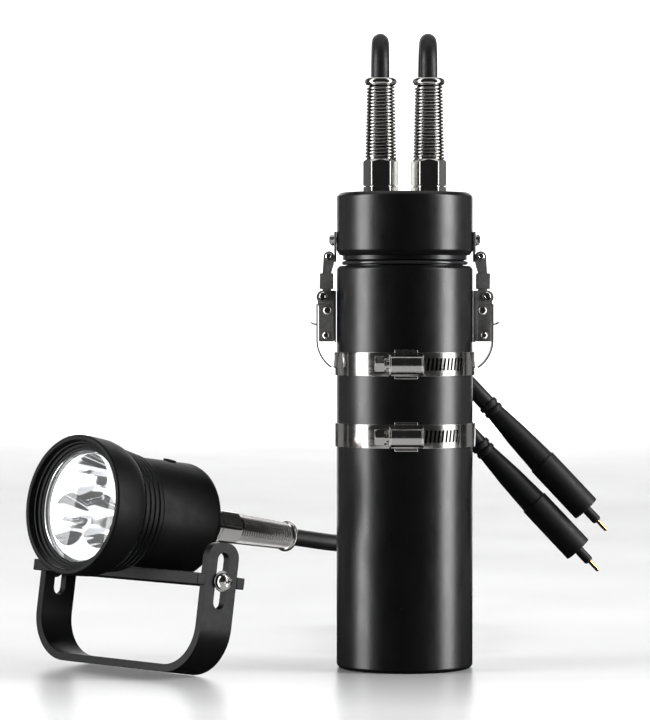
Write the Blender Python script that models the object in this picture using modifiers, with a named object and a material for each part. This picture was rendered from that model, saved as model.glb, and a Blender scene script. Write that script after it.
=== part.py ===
"""Diver's umbilical light set: battery canister, light head on a hand strap, and their leads.

Frame: metres, +Z up, origin at the centre of the canister's base, the front towards -Y.
Lengths below are in millimetres, and MM turns them into metres where a shape is made.
The head stands beside the canister, turned by HEAD_TURN and leaning back by HEAD_LEAN.
"""
import math

import bmesh
import bpy
from mathutils import Euler, Vector

MM = 0.001
GAP = 0.3

# Battery canister: a machined tube with a plugged lid.
CAN_R = 35.0
CAN_BORE_R = 30.5
CAN_TOP = 206.6
CAN_FLOOR = 4.0
LID_TOP = 244.2
LID_BOTTOM = 212.0
LID_CEILING = 231.5
LID_BORE_R = 26.5
NECK_R = 32.0
SEAL_R = 31.75
SEAL_SECTION_R = 1.0
PLUG_R = CAN_BORE_R - GAP
PLUG_BOTTOM = 200.2
CELL_R = 9.2
SLEEVE = 0.3
PACK_TOP = 199.6

# Cable glands with their bend guards: two on the lid, one behind the head.
GLAND_X = 12.35
GLAND_FLANGE = 3.0
GLAND_HEX_AF = 16.0
GLAND_HEX_LENGTH = 13.7
GLAND_SHANK_R = 5.9
GUARD_START = 18.1
GUARD_LENGTH = 42.1
GUARD_R_LOW = 8.2
GUARD_R_HIGH = 7.3
GUARD_RIBS = 10
COLLAR_R = 7.9
COLLAR_LENGTH = 4.3

# Hose clamps round the canister.
BAND_HEIGHTS = {"lower": 120.0, "upper": 156.5}
BAND_WIDTH = 12.0
BAND_THICKNESS = 0.7
HOUSING_LENGTH = 17.6
HOUSING_HALF_HEIGHT = 7.35
HOUSING_X = -0.1
HOUSING_WALL = 0.8
WORM_R = 3.9
WORM_OFFSET = 4.6
WORM_HEX_AF = 8.2

# Draw latches: outward distance from the canister's axis, and height.
LEVER_PIVOT = (41.9, 190.9)
LINK_PIVOT = (39.8, 183.7)
LINK_EYE = (38.95, 211.3)
LEVER_RIVET = (40.6, 170.9)
KEEPER_SCREW_Z = 220.0
CHEEK_MID = 5.5
CHEEK_THICKNESS = 1.0
EAR_MID = 6.9
KEEPER_BACK = 35.25
KEEPER_THICKNESS = 0.8
PIN_HEAD_SEAT = CHEEK_MID + 0.8

# Light head: p runs along its axis, forwards, and p = 0 is over the middle of the strap.
HEAD_TURN = 45.1
HEAD_LEAN = 8.8
HEAD_FOOT = (-142.3, -19.2)
HEAD_AXIS_HEIGHT = 78.2
BEZEL_FRONT = 49.2
BEZEL_REAR = 28.7
BEZEL_R = 35.5
GLASS_R = 29.4
GLASS_REAR = 38.85
GLASS_THICKNESS = 3.0
BODY_R = 29.8
BODY_REAR = -29.5
TAIL_END = -45.8
SPIGOT_R = 29.4
SPIGOT_FRONT = 37.6
HEAD_BORE_R = 22.0
FINS = ((24.9, 32.1), (21.1, 31.4), (17.4, 30.8), (13.6, 30.2))
FIN_THICKNESS = 2.3
FIN_ROOT_R = 28.4
VENT_TURN = 10.0
VENT_BACK = -9.0
REFLECTOR_R = 27.4
REFLECTOR_FRONT = 37.9
REFLECTOR_REAR = 22.0
CUP_R = 13.0
CUP_OFFSET = 13.4
CUP_ANGLES = {"top": 90.0, "left": 210.0, "right": 330.0}
BOARD_FRONT = 21.4
THROAT_R = 3.4

# Hand strap and the plate that carries the head.
STRAP_WIDTH = 126.0
STRAP_DEPTH = 21.0
STRAP_HEIGHT = 67.0
STRAP_THICKNESS = 4.0
STRAP_CORNER_R = 25.0
STRAP_TIP_R = 8.0
SLOT_WIDTH = 7.6
SLOT_LOW = 33.8
SLOT_HIGH = 62.2
PLATE_LOW = 45.0
PLATE_THICKNESS = 5.8
PLATE_LUG = 5.6
PLATE_SCREW_P = {"front": 8.0, "rear": -8.0}
SCREW_HOLE_R = 1.8
STRAP_SCREW_R = 2.0

# Leads: one from each gland.
LEAD_DIAMETER = 9.0
LEAD_BEND_R = 16.0
PLUG_REAR_R = 5.2
PLUG_BODY_R = 7.6
PLUG_LENGTH = 76.5
PLUG_BODY_START = 42.2
PLUG_ROD_R = 2.5
PLUG_ROD_LENGTH = 8.8
PIN_R = 1.0
PLUG_REARS = {"right": (44.2, 40.0, 134.7), "left": (40.0, 40.0, 113.4)}
PLUG_HEADING = (0.685, 0.0, -0.7285)
LEAD_HANGS = {
    "right": ((12.6, 44.2, 250.0), (13.2, 44.2, 220.0), (14.6, 44.2, 194.0), (18.6, 43.8, 172.0),
              (25.4, 42.6, 156.0)),
    "left": ((-12.2, 44.2, 250.0), (-11.4, 44.2, 220.0), (-8.6, 44.2, 192.0), (-2.4, 44.0, 167.0),
             (8.0, 43.6, 146.0), (19.6, 42.4, 131.6))}
HANK_X = 3.0
HANK_NEAR = 79.0
HANK_FAR = 187.0
HANK_FOLD_R = 27.0
HANK_HEIGHT = 18.4
TAIL_X = 12.0
TAIL_Y = 94.0
SOCKET_LENGTH = 56.0
SOCKET_Z = 7.9

PARTS = "umbilical_light_set"
CUTTERS = "cutters"


# ---------------------------------------------------------------- tools

def clear_scene():
    for item in list(bpy.data.objects):
        bpy.data.objects.remove(item, do_unlink=True)


def collection(name):
    group = bpy.data.collections.get(name)
    if group is None:
        group = bpy.data.collections.new(name)
        bpy.context.scene.collection.children.link(group)
    return group


def material(name, colour, roughness, metallic):
    made = bpy.data.materials.get(name)
    if made is None:
        made = bpy.data.materials.new(name)
        made.use_nodes = True
        shader = made.node_tree.nodes["Principled BSDF"]
        shader.inputs["Base Color"].default_value = (*colour, 1.0)
        shader.inputs["Roughness"].default_value = roughness
        shader.inputs["Metallic"].default_value = metallic
    return made


def anodised():
    return material("anodised_black", (0.012, 0.012, 0.013), 0.42, 0.6)


def steel():
    return material("polished_steel", (0.75, 0.74, 0.72), 0.18, 1.0)


def latch_steel():
    return material("latch_steel", (0.09, 0.085, 0.08), 0.38, 1.0)


def rubber():
    return material("black_rubber", (0.02, 0.02, 0.02), 0.6, 0.0)


def link_object(name, mesh, group, parent, place, turn):
    made = bpy.data.objects.new(name, mesh)
    collection(group).objects.link(made)
    made.parent = parent
    made.location = Vector(place) * MM
    made.rotation_euler = Euler([math.radians(angle) for angle in turn])
    return made


def finish(made, finish_material):
    made.data.materials.append(finish_material)
    made.data.shade_smooth()
    made.data.set_sharp_from_angle(angle=math.radians(35))
    return made


def empty(name, place=(0, 0, 0), turn=(0, 0, 0), parent=None):
    return link_object(name, None, PARTS, parent, place, turn)


def as_cutter(made):
    made.hide_render = True
    made.display_type = "WIRE"
    return made


def combine(target, tool, operation):
    step = target.modifiers.new(operation.lower() + "_" + tool.name, "BOOLEAN")
    step.operation = operation
    step.solver = "EXACT"
    step.object = tool
    return target


def cut(target, *tools):
    for tool in tools:
        combine(target, tool, "DIFFERENCE")
    return target


def join(target, *tools):
    for tool in tools:
        combine(target, tool, "UNION")
    return target


def turned(name, profile, group=PARTS, parent=None, place=(0, 0, 0), turn=(0, 0, 0), steps=32):
    """A profile of (radius, height) points, down its outer side, turned about local Z."""
    shape = bmesh.new()
    points = [shape.verts.new((radius * MM, 0.0, height * MM)) for radius, height in profile]
    for first, second in zip(points, points[1:]):
        shape.edges.new((first, second))
    if profile[0][0] > 0:
        shape.edges.new((points[-1], points[0]))
    mesh = bpy.data.meshes.new(name)
    shape.to_mesh(mesh)
    shape.free()
    made = link_object(name, mesh, group, parent, place, turn)
    screw = made.modifiers.new("turn", "SCREW")
    screw.angle = math.tau
    screw.steps = steps
    screw.render_steps = steps
    screw.use_merge_vertices = True
    screw.merge_threshold = 0.00001
    screw.use_smooth_shade = True
    return made


def rod(name, radius, low, high, **where):
    return turned(name, [(0, high), (radius, high), (radius, low), (0, low)], **where)


def ring_profile(middle_r, section_r, height, sides):
    """A round section, run clockwise so that its outer side goes down."""
    turns = [math.pi / 2 - math.tau * index / sides for index in range(sides)]
    return [(middle_r + section_r * math.cos(t), height + section_r * math.sin(t)) for t in turns]


def arc(centre, radius, start, end, pieces):
    """Points on an arc from start to end, in degrees."""
    angles = [math.radians(start + (end - start) * index / pieces) for index in range(pieces + 1)]
    return [(centre[0] + radius * math.cos(a), centre[1] + radius * math.sin(a)) for a in angles]


def solid_from_curve(curve, name, group, parent, place, turn):
    guide = bpy.data.objects.new(name + "_guide", curve)
    bpy.context.scene.collection.objects.link(guide)
    bpy.context.view_layer.update()
    evaluated = guide.evaluated_get(bpy.context.evaluated_depsgraph_get())
    mesh = bpy.data.meshes.new_from_object(evaluated)
    bpy.data.objects.remove(guide, do_unlink=True)
    shape = bmesh.new()
    shape.from_mesh(mesh)
    bmesh.ops.remove_doubles(shape, verts=shape.verts, dist=0.000001)
    bmesh.ops.recalc_face_normals(shape, faces=shape.faces)
    shape.to_mesh(mesh)
    shape.free()
    mesh.name = name
    mesh.materials.clear()
    return link_object(name, mesh, group, parent, place, turn)


def plate(name, outlines, thickness, group=PARTS, parent=None, place=(0, 0, 0), turn=(0, 0, 0)):
    """Flat outlines in local XY, the first one the outside, thickened evenly along local Z."""
    curve = bpy.data.curves.new(name, "CURVE")
    curve.dimensions = "2D"
    curve.fill_mode = "BOTH"
    curve.extrude = thickness / 2 * MM
    for outline in outlines:
        spline = curve.splines.new("POLY")
        spline.points.add(len(outline) - 1)
        for point, (x, y) in zip(spline.points, outline):
            point.co = (x * MM, y * MM, 0.0, 1.0)
        spline.use_cyclic_u = True
    return solid_from_curve(curve, name, group, parent, place, turn)


def block(name, size, group=PARTS, parent=None, place=(0, 0, 0), turn=(0, 0, 0)):
    shape = bmesh.new()
    bmesh.ops.create_cube(shape, size=1.0)
    bmesh.ops.scale(shape, verts=shape.verts, vec=Vector(size) * MM)
    mesh = bpy.data.meshes.new(name)
    shape.to_mesh(mesh)
    shape.free()
    return link_object(name, mesh, group, parent, place, turn)


def prism(name, across_flats, low, high, parent=None, place=(0, 0, 0), turn=(0, 0, 0), group=PARTS):
    """A hexagonal bar along local Z with two flats facing along local Y."""
    shape = bmesh.new()
    corner_r = across_flats / math.sqrt(3) * MM
    bmesh.ops.create_cone(shape, cap_ends=True, segments=6, radius1=corner_r, radius2=corner_r,
                          depth=(high - low) * MM)
    bmesh.ops.rotate(shape, verts=shape.verts, cent=(0, 0, 0),
                     matrix=Euler((0, 0, math.radians(30))).to_matrix())
    bmesh.ops.translate(shape, verts=shape.verts, vec=(0, 0, (low + high) / 2 * MM))
    mesh = bpy.data.meshes.new(name)
    shape.to_mesh(mesh)
    shape.free()
    return link_object(name, mesh, group, parent, place, turn)


def smooth_route(points, spacing):
    """Points about a spacing apart on a Catmull-Rom curve through the route's own points."""
    route = [Vector(point) for point in points]
    route = [2 * route[0] - route[1]] + route + [2 * route[-1] - route[-2]]
    smooth = []
    for before, start, end, after in zip(route, route[1:], route[2:], route[3:]):
        pieces = max(1, round((end - start).length / spacing))
        for index in range(pieces):
            t = index / pieces
            along = end - before
            pull = 2 * before - 5 * start + 4 * end - after
            push = 3 * start - before - 3 * end + after
            smooth.append(start + 0.5 * t * (along + t * (pull + t * push)))
    smooth.append(route[-2])
    return smooth


def tube(name, points, diameter, finish_material):
    curve = bpy.data.curves.new(name, "CURVE")
    curve.dimensions = "3D"
    curve.bevel_depth = diameter / 2 * MM
    curve.bevel_resolution = 2
    curve.use_fill_caps = True
    spline = curve.splines.new("POLY")
    route = smooth_route(points, diameter * 2.0)
    spline.points.add(len(route) - 1)
    for point, place in zip(spline.points, route):
        point.co = (*(place * MM), 1.0)
    curve.materials.append(finish_material)
    made = bpy.data.objects.new(name, curve)
    collection(PARTS).objects.link(made)
    return made


# ---------------------------------------------------------------- canister

def canister_tube():
    profile = [(0, CAN_FLOOR), (CAN_BORE_R, CAN_FLOOR), (CAN_BORE_R, CAN_TOP), (CAN_R - 1.0, CAN_TOP),
               (CAN_R, CAN_TOP - 2.0), (CAN_R, 1.5), (CAN_R - 1.5, 0), (0, 0)]
    return finish(turned("canister_tube", profile, steps=40), anodised())


def canister_lid(latch_frames):
    seal_seat = CAN_TOP + 2.9
    profile = [(0, LID_TOP), (CAN_R - 1.9, LID_TOP), (CAN_R, LID_TOP - 1.9), (CAN_R, LID_BOTTOM + 2.6),
               (CAN_R - 1.4, LID_BOTTOM), (NECK_R, LID_BOTTOM), (NECK_R, seal_seat),
               (PLUG_R + 0.2, seal_seat), (PLUG_R, CAN_TOP + 0.35), (PLUG_R, PLUG_BOTTOM),
               (LID_BORE_R, PLUG_BOTTOM), (LID_BORE_R, LID_CEILING), (0, LID_CEILING)]
    lid = finish(turned("canister_lid", profile, steps=40), anodised())
    for side, x in (("left", -GLAND_X), ("right", GLAND_X)):
        hole = rod("lid_hole_" + side, GLAND_SHANK_R + GAP, LID_CEILING - 2, LID_TOP + 2,
                   group=CUTTERS, place=(x, 0, 0), steps=16)
        cut(lid, as_cutter(hole))
    for side, frame in latch_frames.items():
        hole = rod("keeper_hole_" + side, SCREW_HOLE_R, -2.5, 6.0, group=CUTTERS, parent=frame,
                   place=(CAN_R - 3.0, KEEPER_SCREW_Z, 0), turn=(0, 90, 0), steps=10)
        cut(lid, as_cutter(hole))
    return lid


def lid_seal():
    section = ring_profile(SEAL_R, SEAL_SECTION_R, CAN_TOP + 1.45, 8)
    seal = turned("lid_seal", section, steps=32)
    return finish(seal, rubber())


def battery_pack():
    """Seven round cells, six about one, three layers high, in one shrink sleeve."""
    outline = []
    for angle in range(0, 360, 60):
        turn = math.radians(angle)
        centre = (2 * CELL_R * math.cos(turn), 2 * CELL_R * math.sin(turn))
        outline += arc(centre, CELL_R + SLEEVE, angle - 30, angle + 30, 4)
    height = PACK_TOP - CAN_FLOOR - 0.5
    pack = plate("battery_pack", [outline], height, place=(0, 0, CAN_FLOOR + 0.5 + height / 2))
    return finish(pack, material("shrink_sleeve", (0.02, 0.10, 0.32), 0.35, 0.0))


def protection_board():
    low = PACK_TOP + 3.0
    board = rod("protection_board", 24.0, low, low + 1.6, steps=24)
    return finish(board, material("circuit_board", (0.02, 0.16, 0.05), 0.5, 0.0))


# ---------------------------------------------------------------- glands and bend guards

def gland(name, frame):
    """Threaded shank, flange and hexagon, standing on the frame's XY plane."""
    flange_top = GAP + GLAND_FLANGE
    hex_top = flange_top + GLAND_HEX_LENGTH
    profile = [(0, hex_top + 0.8), (7.0, hex_top + 0.8), (7.0, flange_top), (9.3, flange_top - 0.5),
               (9.3, GAP + 0.4), (8.9, GAP), (GLAND_SHANK_R, GAP), (GLAND_SHANK_R, -11.0), (0, -11.0)]
    body = turned(name, profile, parent=frame, steps=20)
    nut = prism(name + "_hexagon", GLAND_HEX_AF, flange_top - 0.2, hex_top, parent=frame, group=CUTTERS)
    join(body, as_cutter(nut))
    return finish(body, steel())


def bend_guard(name, frame):
    """A close coiled spring that ends in a round collar, as ribs on one sleeve."""
    coil_top = GUARD_LENGTH - COLLAR_LENGTH
    pitch = coil_top / GUARD_RIBS
    top = GUARD_LENGTH
    profile = [(0, top), (5.2, top), (COLLAR_R - 0.9, top - 0.3), (COLLAR_R, top - 1.4),
               (COLLAR_R, coil_top + 1.0), (GUARD_R_HIGH - 0.7, coil_top + 0.3)]
    for index in reversed(range(GUARD_RIBS)):
        share = (index + 0.5) / GUARD_RIBS
        crest_r = GUARD_R_LOW + (GUARD_R_HIGH - GUARD_R_LOW) * share
        profile.append((crest_r, (index + 0.5) * pitch))
        profile.append((crest_r - 0.7, index * pitch))
    profile.append((0, 0))
    guard = turned(name, profile, parent=frame, place=(0, 0, GUARD_START), steps=12)
    return finish(guard, steel())


# ---------------------------------------------------------------- hose clamps

def clamp(label, height):
    inner = CAN_R + GAP
    outer = inner + BAND_THICKNESS
    half = BAND_WIDTH / 2
    band = turned(f"clamp_{label}_band", [(outer, half), (outer, -half), (inner, -half), (inner, half)],
                  place=(0, 0, height), steps=56)
    finish(band, steel())
    seat = -(outer + GAP)
    arch = clamp_arch()
    housing = plate(f"clamp_{label}_housing", [arch], HOUSING_LENGTH, place=(HOUSING_X, seat, height),
                    turn=(90, 0, 90))
    finish(housing, steel())
    screw = worm_screw(label, (HOUSING_X, seat - WORM_OFFSET, height))
    finish(screw, steel())


def clamp_arch():
    """The housing's section in (outwards, height): two feet and an arch over the worm."""
    wall = HOUSING_WALL
    inner_r = WORM_R + 0.4
    outer_r = inner_r + wall
    foot = HOUSING_HALF_HEIGHT
    outside = arc((-WORM_OFFSET, 0), outer_r, 90, 270, 10)
    inside = arc((-WORM_OFFSET, 0), inner_r, 270, 90, 10)
    return ([(0, foot), (-wall, foot), (-wall, outer_r)] + outside + [(-wall, -outer_r), (-wall, -foot)]
            + [(0, -foot), (0, -inner_r)] + inside + [(0, inner_r)])


def worm_screw(label, place):
    half = HOUSING_LENGTH / 2
    neck_r = 2.4
    profile = [(0, half - 0.4), (WORM_R - 0.6, half - 0.4), (WORM_R, half - 1.2), (WORM_R, 0.6 - half),
               (neck_r, -half), (neck_r, -half - 1.2), (WORM_R, -half - 1.2), (WORM_R, -half - 2.4),
               (0, -half - 2.4)]
    name = f"clamp_{label}_screw"
    screw = turned(name, profile, place=place, turn=(0, 90, 0), steps=16)
    head = prism(name + "_head", WORM_HEX_AF, -half - 7.2, -half - 2.2, group=CUTTERS, place=place,
                 turn=(0, 90, 0))
    return join(screw, as_cutter(head))


# ---------------------------------------------------------------- draw latches

def relative(points, origin):
    return [(x - origin[0], y - origin[1]) for x, y in points]


def circle(centre, radius, sides=12):
    return arc(centre, radius, 0, 360 - 360 / sides, sides - 1)


def keeper(side, frame):
    """A screwed plate on the lid whose foot turns outwards under the link's cross pin."""
    face = KEEPER_BACK + KEEPER_THICKNESS
    middle = KEEPER_BACK + KEEPER_THICKNESS / 2
    low = 208.6
    top = low + KEEPER_THICKNESS
    upper = block(f"latch_{side}_keeper", (KEEPER_THICKNESS, 10.6, 12.0), parent=frame,
                  place=(middle, 218.7, 0))
    foot = [(KEEPER_BACK, 214.5), (KEEPER_BACK, low), (41.2, low), (41.2, top), (face, top), (face, 214.5)]
    tongue = plate(f"keeper_tongue_{side}", [foot], 4.6, group=CUTTERS, parent=frame)
    hole = rod(f"keeper_plate_hole_{side}", SCREW_HOLE_R, -3, 3, group=CUTTERS, parent=frame,
               place=(middle, KEEPER_SCREW_Z, 0), turn=(0, 90, 0), steps=10)
    join(upper, as_cutter(tongue))
    cut(upper, as_cutter(hole))
    return finish(upper, latch_steel())


def keeper_screw(side, frame):
    head_seat = KEEPER_BACK + KEEPER_THICKNESS + GAP
    profile = [(0, 2.5), (1.6, 2.5), (2.7, 1.9), (3.1, 0.9), (3.1, 0), (1.5, 0), (1.5, -5.0), (0, -5.0)]
    screw = turned(f"latch_{side}_keeper_screw", profile, parent=frame,
                   place=(head_seat, KEEPER_SCREW_Z, 0), turn=(0, 90, 0), steps=12)
    return finish(screw, steel())


def latch_base(side, frame):
    """The base plate on the canister with its two ears and their pivot studs."""
    base = block(f"latch_{side}_base", (0.9, 26.6, 14.8), parent=frame, place=(35.75, 180.6, 0))
    ear = [(35.3, 187.2)] + arc((LEVER_PIVOT[0] + 0.15, 190.55), 3.35, -90, 90, 6) + [(35.3, 193.9)]
    stud = [(0, 1.7), (1.6, 1.7), (2.2, 1.1), (2.2, 0.4), (1.4, 0.4), (1.4, -2.2), (0, -2.2)]
    for label, sign in (("front", 1), ("rear", -1)):
        wall = plate(f"latch_{side}_ear_{label}", [ear], 1.0, group=CUTTERS, parent=frame,
                     place=(0, 0, sign * EAR_MID))
        pin = turned(f"latch_{side}_stud_{label}", stud, group=CUTTERS, parent=frame,
                     place=(*LEVER_PIVOT, sign * EAR_MID), turn=(0 if sign > 0 else 180, 0, 0), steps=12)
        join(base, as_cutter(wall), as_cutter(pin))
    return finish(base, latch_steel())


def latch_lever(side, frame):
    """Two cheeks on the studs, a web between them, and the sprung finger blade."""
    name = f"latch_{side}_lever"
    rounded_top = arc(LEVER_PIVOT, 2.9, 180, 0, 8)
    cheek = ([(36.6, 167.7), (36.6, 186.0)] + rounded_top
             + [(45.4, 187.5), (45.4, 167.0), (44.8, 167.0), (44.8, 185.4), (44.2, 185.4), (44.2, 167.7)])
    holes = [circle(LEVER_PIVOT, 1.7, 10), circle(LINK_PIVOT, 1.6, 10), circle(LEVER_RIVET, 1.4, 10)]
    outlines = [relative(shape, LEVER_PIVOT) for shape in [cheek] + holes]
    where = dict(parent=frame, group=CUTTERS)
    lever = plate(name, outlines, CHEEK_THICKNESS, parent=frame, place=(*LEVER_PIVOT, CHEEK_MID))
    other = plate(name + "_cheek", outlines, CHEEK_THICKNESS, place=(*LEVER_PIVOT, -CHEEK_MID), **where)
    web = block(name + "_web", (1.0, 9.1, 2 * CHEEK_MID), place=(43.6, 172.4, 0), **where)
    bend = (28.1, 168.5)
    blade_line = ([(45.45, 177.0)] + arc(bend, 17.35, 0, -56, 8) + arc(bend, 16.65, -56, 0, 8)
                  + [(44.75, 177.0)])
    blade = plate(name + "_blade", [blade_line], 12.2, **where)
    join(lever, as_cutter(other), as_cutter(web), as_cutter(blade))
    for label, sign in (("front", 1), ("rear", -1)):
        tab = block(f"{name}_tab_{label}", (3.2, 0.7, 1.6), place=(46.7, 176.5, sign * 5.2), **where)
        join(lever, as_cutter(tab))
    return finish(lever, latch_steel())


def latch_link(side, frame):
    """The adjustable link: an eye with its cross pin, two arms, and the threaded block."""
    name = f"latch_{side}_link"
    block_outside = [(41.6, 194.3), (43.9, 194.7), (43.9, 202.7), (42.2, 203.1)]
    block_inside = [(36.45, 207.5), (37.9, 203.3), (36.8, 202.8), (36.8, 194.6), (38.2, 194.2)]
    outline = (arc(LINK_PIVOT, 2.4, 180, 360, 8) + block_outside + arc(LINK_EYE, 2.5, 0, 180, 8)
               + block_inside)
    outlines = [relative(shape, LINK_PIVOT) for shape in (outline, circle(LINK_PIVOT, 1.6))]
    link = plate(name, outlines, 7.6, parent=frame, place=(*LINK_PIVOT, 0))
    fork = block(name + "_fork", (12.0, 12.0, 5.2), group=CUTTERS, parent=frame, place=(39.0, 210.6, 0))
    cross = rod(name + "_cross_pin", 1.3, -3.5, 3.5, group=CUTTERS, parent=frame,
                place=(*LINK_EYE, 0), steps=12)
    cut(link, as_cutter(fork))
    join(link, as_cutter(cross))
    return finish(link, latch_steel())


def riveted_pin(name, frame, place, shank_r, head_r):
    """A shank between two domed heads, the same at both ends."""
    seat = PIN_HEAD_SEAT
    top = seat + 0.8
    upper_half = [(0, top), (head_r - 0.6, top), (head_r, seat + 0.3), (head_r, seat), (shank_r, seat)]
    profile = upper_half + [(radius, -height) for radius, height in reversed(upper_half)]
    return finish(turned(name, profile, parent=frame, place=(*place, 0), steps=10), steel())


def latch(side, frame):
    keeper(side, frame)
    keeper_screw(side, frame)
    latch_base(side, frame)
    latch_lever(side, frame)
    latch_link(side, frame)
    riveted_pin(f"latch_{side}_link_pin", frame, LINK_PIVOT, 1.3, 2.2)
    riveted_pin(f"latch_{side}_lever_rivet", frame, LEVER_RIVET, 1.1, 1.75)


# ---------------------------------------------------------------- light head

def head_body(frame):
    """Spigot for the bezel, four cooling fins, barrel with a vent boss, tail cone; bored from the front."""
    well_r = REFLECTOR_R + GAP
    well_floor = 15.9
    chamber_rear = -24.0
    thread_r = GLAND_SHANK_R + GAP
    profile = [(well_r, SPIGOT_FRONT), (SPIGOT_R, SPIGOT_FRONT), (SPIGOT_R, 27.3)]
    for rear, fin_r in FINS:
        profile += [(fin_r, rear + FIN_THICKNESS), (fin_r, rear), (FIN_ROOT_R, rear - 0.1),
                    (FIN_ROOT_R, rear - 1.3)]
    profile += [(BODY_R - 0.9, 12.2), (BODY_R, BODY_REAR + 5.0), (BODY_R - 0.7, BODY_REAR + 2.7),
                (BODY_R - 2.9, BODY_REAR + 0.9), (BODY_R - 5.2, BODY_REAR), (10.8, TAIL_END + 1.0),
                (9.8, TAIL_END), (thread_r, TAIL_END), (thread_r, chamber_rear), (HEAD_BORE_R, chamber_rear),
                (HEAD_BORE_R, well_floor), (well_r, well_floor)]
    body = turned("head_body", profile, parent=frame, steps=32)
    flat = PLATE_LOW + PLATE_THICKNESS + GAP - HEAD_AXIS_HEIGHT
    mill = block("head_flat", (70, 10, 50), group=CUTTERS, parent=frame,
                 place=(0, flat - 5, STRAP_DEPTH / 2 + PLATE_LUG + 0.6 - 25))
    cut(body, as_cutter(mill))
    for label, p in PLATE_SCREW_P.items():
        hole = rod("head_screw_hole_" + label, SCREW_HOLE_R, -2, 6, group=CUTTERS, parent=frame,
                   place=(0, flat, p), turn=(-90, 0, 0), steps=10)
        cut(body, as_cutter(hole))
    lean = math.radians(VENT_TURN)
    spot = (BODY_R * math.sin(lean), BODY_R * math.cos(lean), VENT_BACK)
    boss = rod("head_vent_boss", 3.4, -3.0, 0.4, group=CUTTERS, parent=frame, place=spot,
               turn=(-90, 0, -VENT_TURN), steps=16)
    join(body, as_cutter(boss))
    vent = rod("head_vent", 1.9, -1.4, 3, group=CUTTERS, parent=frame, place=spot,
               turn=(-90, 0, -VENT_TURN), steps=12)
    cut(body, as_cutter(vent))
    return finish(body, anodised())


def bezel(frame):
    glass_front = GLASS_REAR + GLASS_THICKNESS
    lip = glass_front + GAP
    profile = [(BEZEL_R - 0.5, BEZEL_FRONT), (BEZEL_R, BEZEL_FRONT - 0.5), (BEZEL_R - 0.2, 42.0),
               (BEZEL_R - 0.6, 35.0), (BEZEL_R - 1.6, 31.0), (BEZEL_R - 2.7, BEZEL_REAR),
               (29.8, BEZEL_REAR), (29.8, lip), (28.3, lip), (28.3, lip + 0.8), (29.9, lip + 0.8),
               (29.9, lip + 1.6), (31.5, lip + 1.9), (31.5, 45.8), (32.4, 45.8), (32.5, BEZEL_FRONT)]
    return finish(turned("bezel", profile, parent=frame, steps=32), anodised())


def front_glass(frame):
    front = GLASS_REAR + GLASS_THICKNESS
    chamfer = 0.3
    profile = [(0, front), (GLASS_R - chamfer, front), (GLASS_R, front - chamfer), (GLASS_R, GLASS_REAR),
               (0, GLASS_REAR)]
    glass = turned("front_glass", profile, parent=frame, steps=32)
    return finish(glass, material("clear_glass", (0.9, 0.93, 0.95), 0.03, 0.0))


def glass_seal(frame):
    seal = turned("glass_seal", ring_profile(28.55, 0.3, GLASS_REAR - 0.62, 6), parent=frame, steps=24)
    return finish(seal, rubber())


def reflector(frame):
    """One turned block with three parabolic cups that run into each other."""
    front, rear = REFLECTOR_FRONT, REFLECTOR_REAR
    waist_r = 26.0
    block_profile = [(0, front), (REFLECTOR_R, front), (REFLECTOR_R, front - 1.2), (waist_r, front - 2.0),
                     (waist_r, rear), (0, rear)]
    made = turned("reflector", block_profile, parent=frame, steps=32)
    depth = front - rear
    for label, angle in CUP_ANGLES.items():
        turn = math.radians(angle)
        bowl = [(0, front + 1.0), (CUP_R + 0.4, front + 1.0)]
        for index in range(6):
            share = index / 5
            radius = CUP_R + (THROAT_R - CUP_R) * share
            height = rear + depth * (radius ** 2 - THROAT_R ** 2) / (CUP_R ** 2 - THROAT_R ** 2)
            bowl.append((radius, height + 0.4 * (1 - share)))
        bowl += [(THROAT_R, rear - 1.0), (0, rear - 1.0)]
        cup = turned("reflector_cup_" + label, bowl, group=CUTTERS, parent=frame,
                     place=(CUP_OFFSET * math.cos(turn), CUP_OFFSET * math.sin(turn), 0), steps=18)
        cut(made, as_cutter(cup))
    return finish(made, material("reflector_chrome", (0.9, 0.9, 0.9), 0.05, 1.0))


def emitters(frame):
    chip = material("led_chip", (0.85, 0.8, 0.45), 0.3, 0.0)
    for label, angle in CUP_ANGLES.items():
        turn = math.radians(angle)
        place = (CUP_OFFSET * math.cos(turn), CUP_OFFSET * math.sin(turn), BOARD_FRONT + GAP)
        dome = [(0, 2.6), (0.9, 2.4), (1.6, 1.7), (1.8, 0.9), (2.5, 0.9), (2.5, 0), (0, 0)]
        finish(turned("led_" + label, dome, parent=frame, place=place, steps=12), chip)


def head_electronics(frame):
    """From the front: the board with the emitters, its heat sink, and the driver behind."""
    slug_rear = 16.2
    slug = rod("heat_sink_plate", 27.3, slug_rear, slug_rear + 3.2, parent=frame, steps=28)
    finish(slug, material("copper", (0.6, 0.3, 0.18), 0.35, 1.0))
    board_green = material("circuit_board", (0.02, 0.16, 0.05), 0.5, 0.0)
    board = rod("led_board", 26.5, BOARD_FRONT - 1.6, BOARD_FRONT, parent=frame, steps=28)
    finish(board, board_green)
    driver = [(0, 2.4), (19.5, 2.4), (19.5, 0.8), (12.0, 0.8), (12.0, -6.0), (0, -6.0)]
    finish(turned("driver_board", driver, parent=frame, steps=20), board_green)


# ---------------------------------------------------------------- hand strap

def over_axis(height):
    """A height above the strap's underside as a local Y of the head's frame."""
    return height - HEAD_AXIS_HEIGHT


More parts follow.
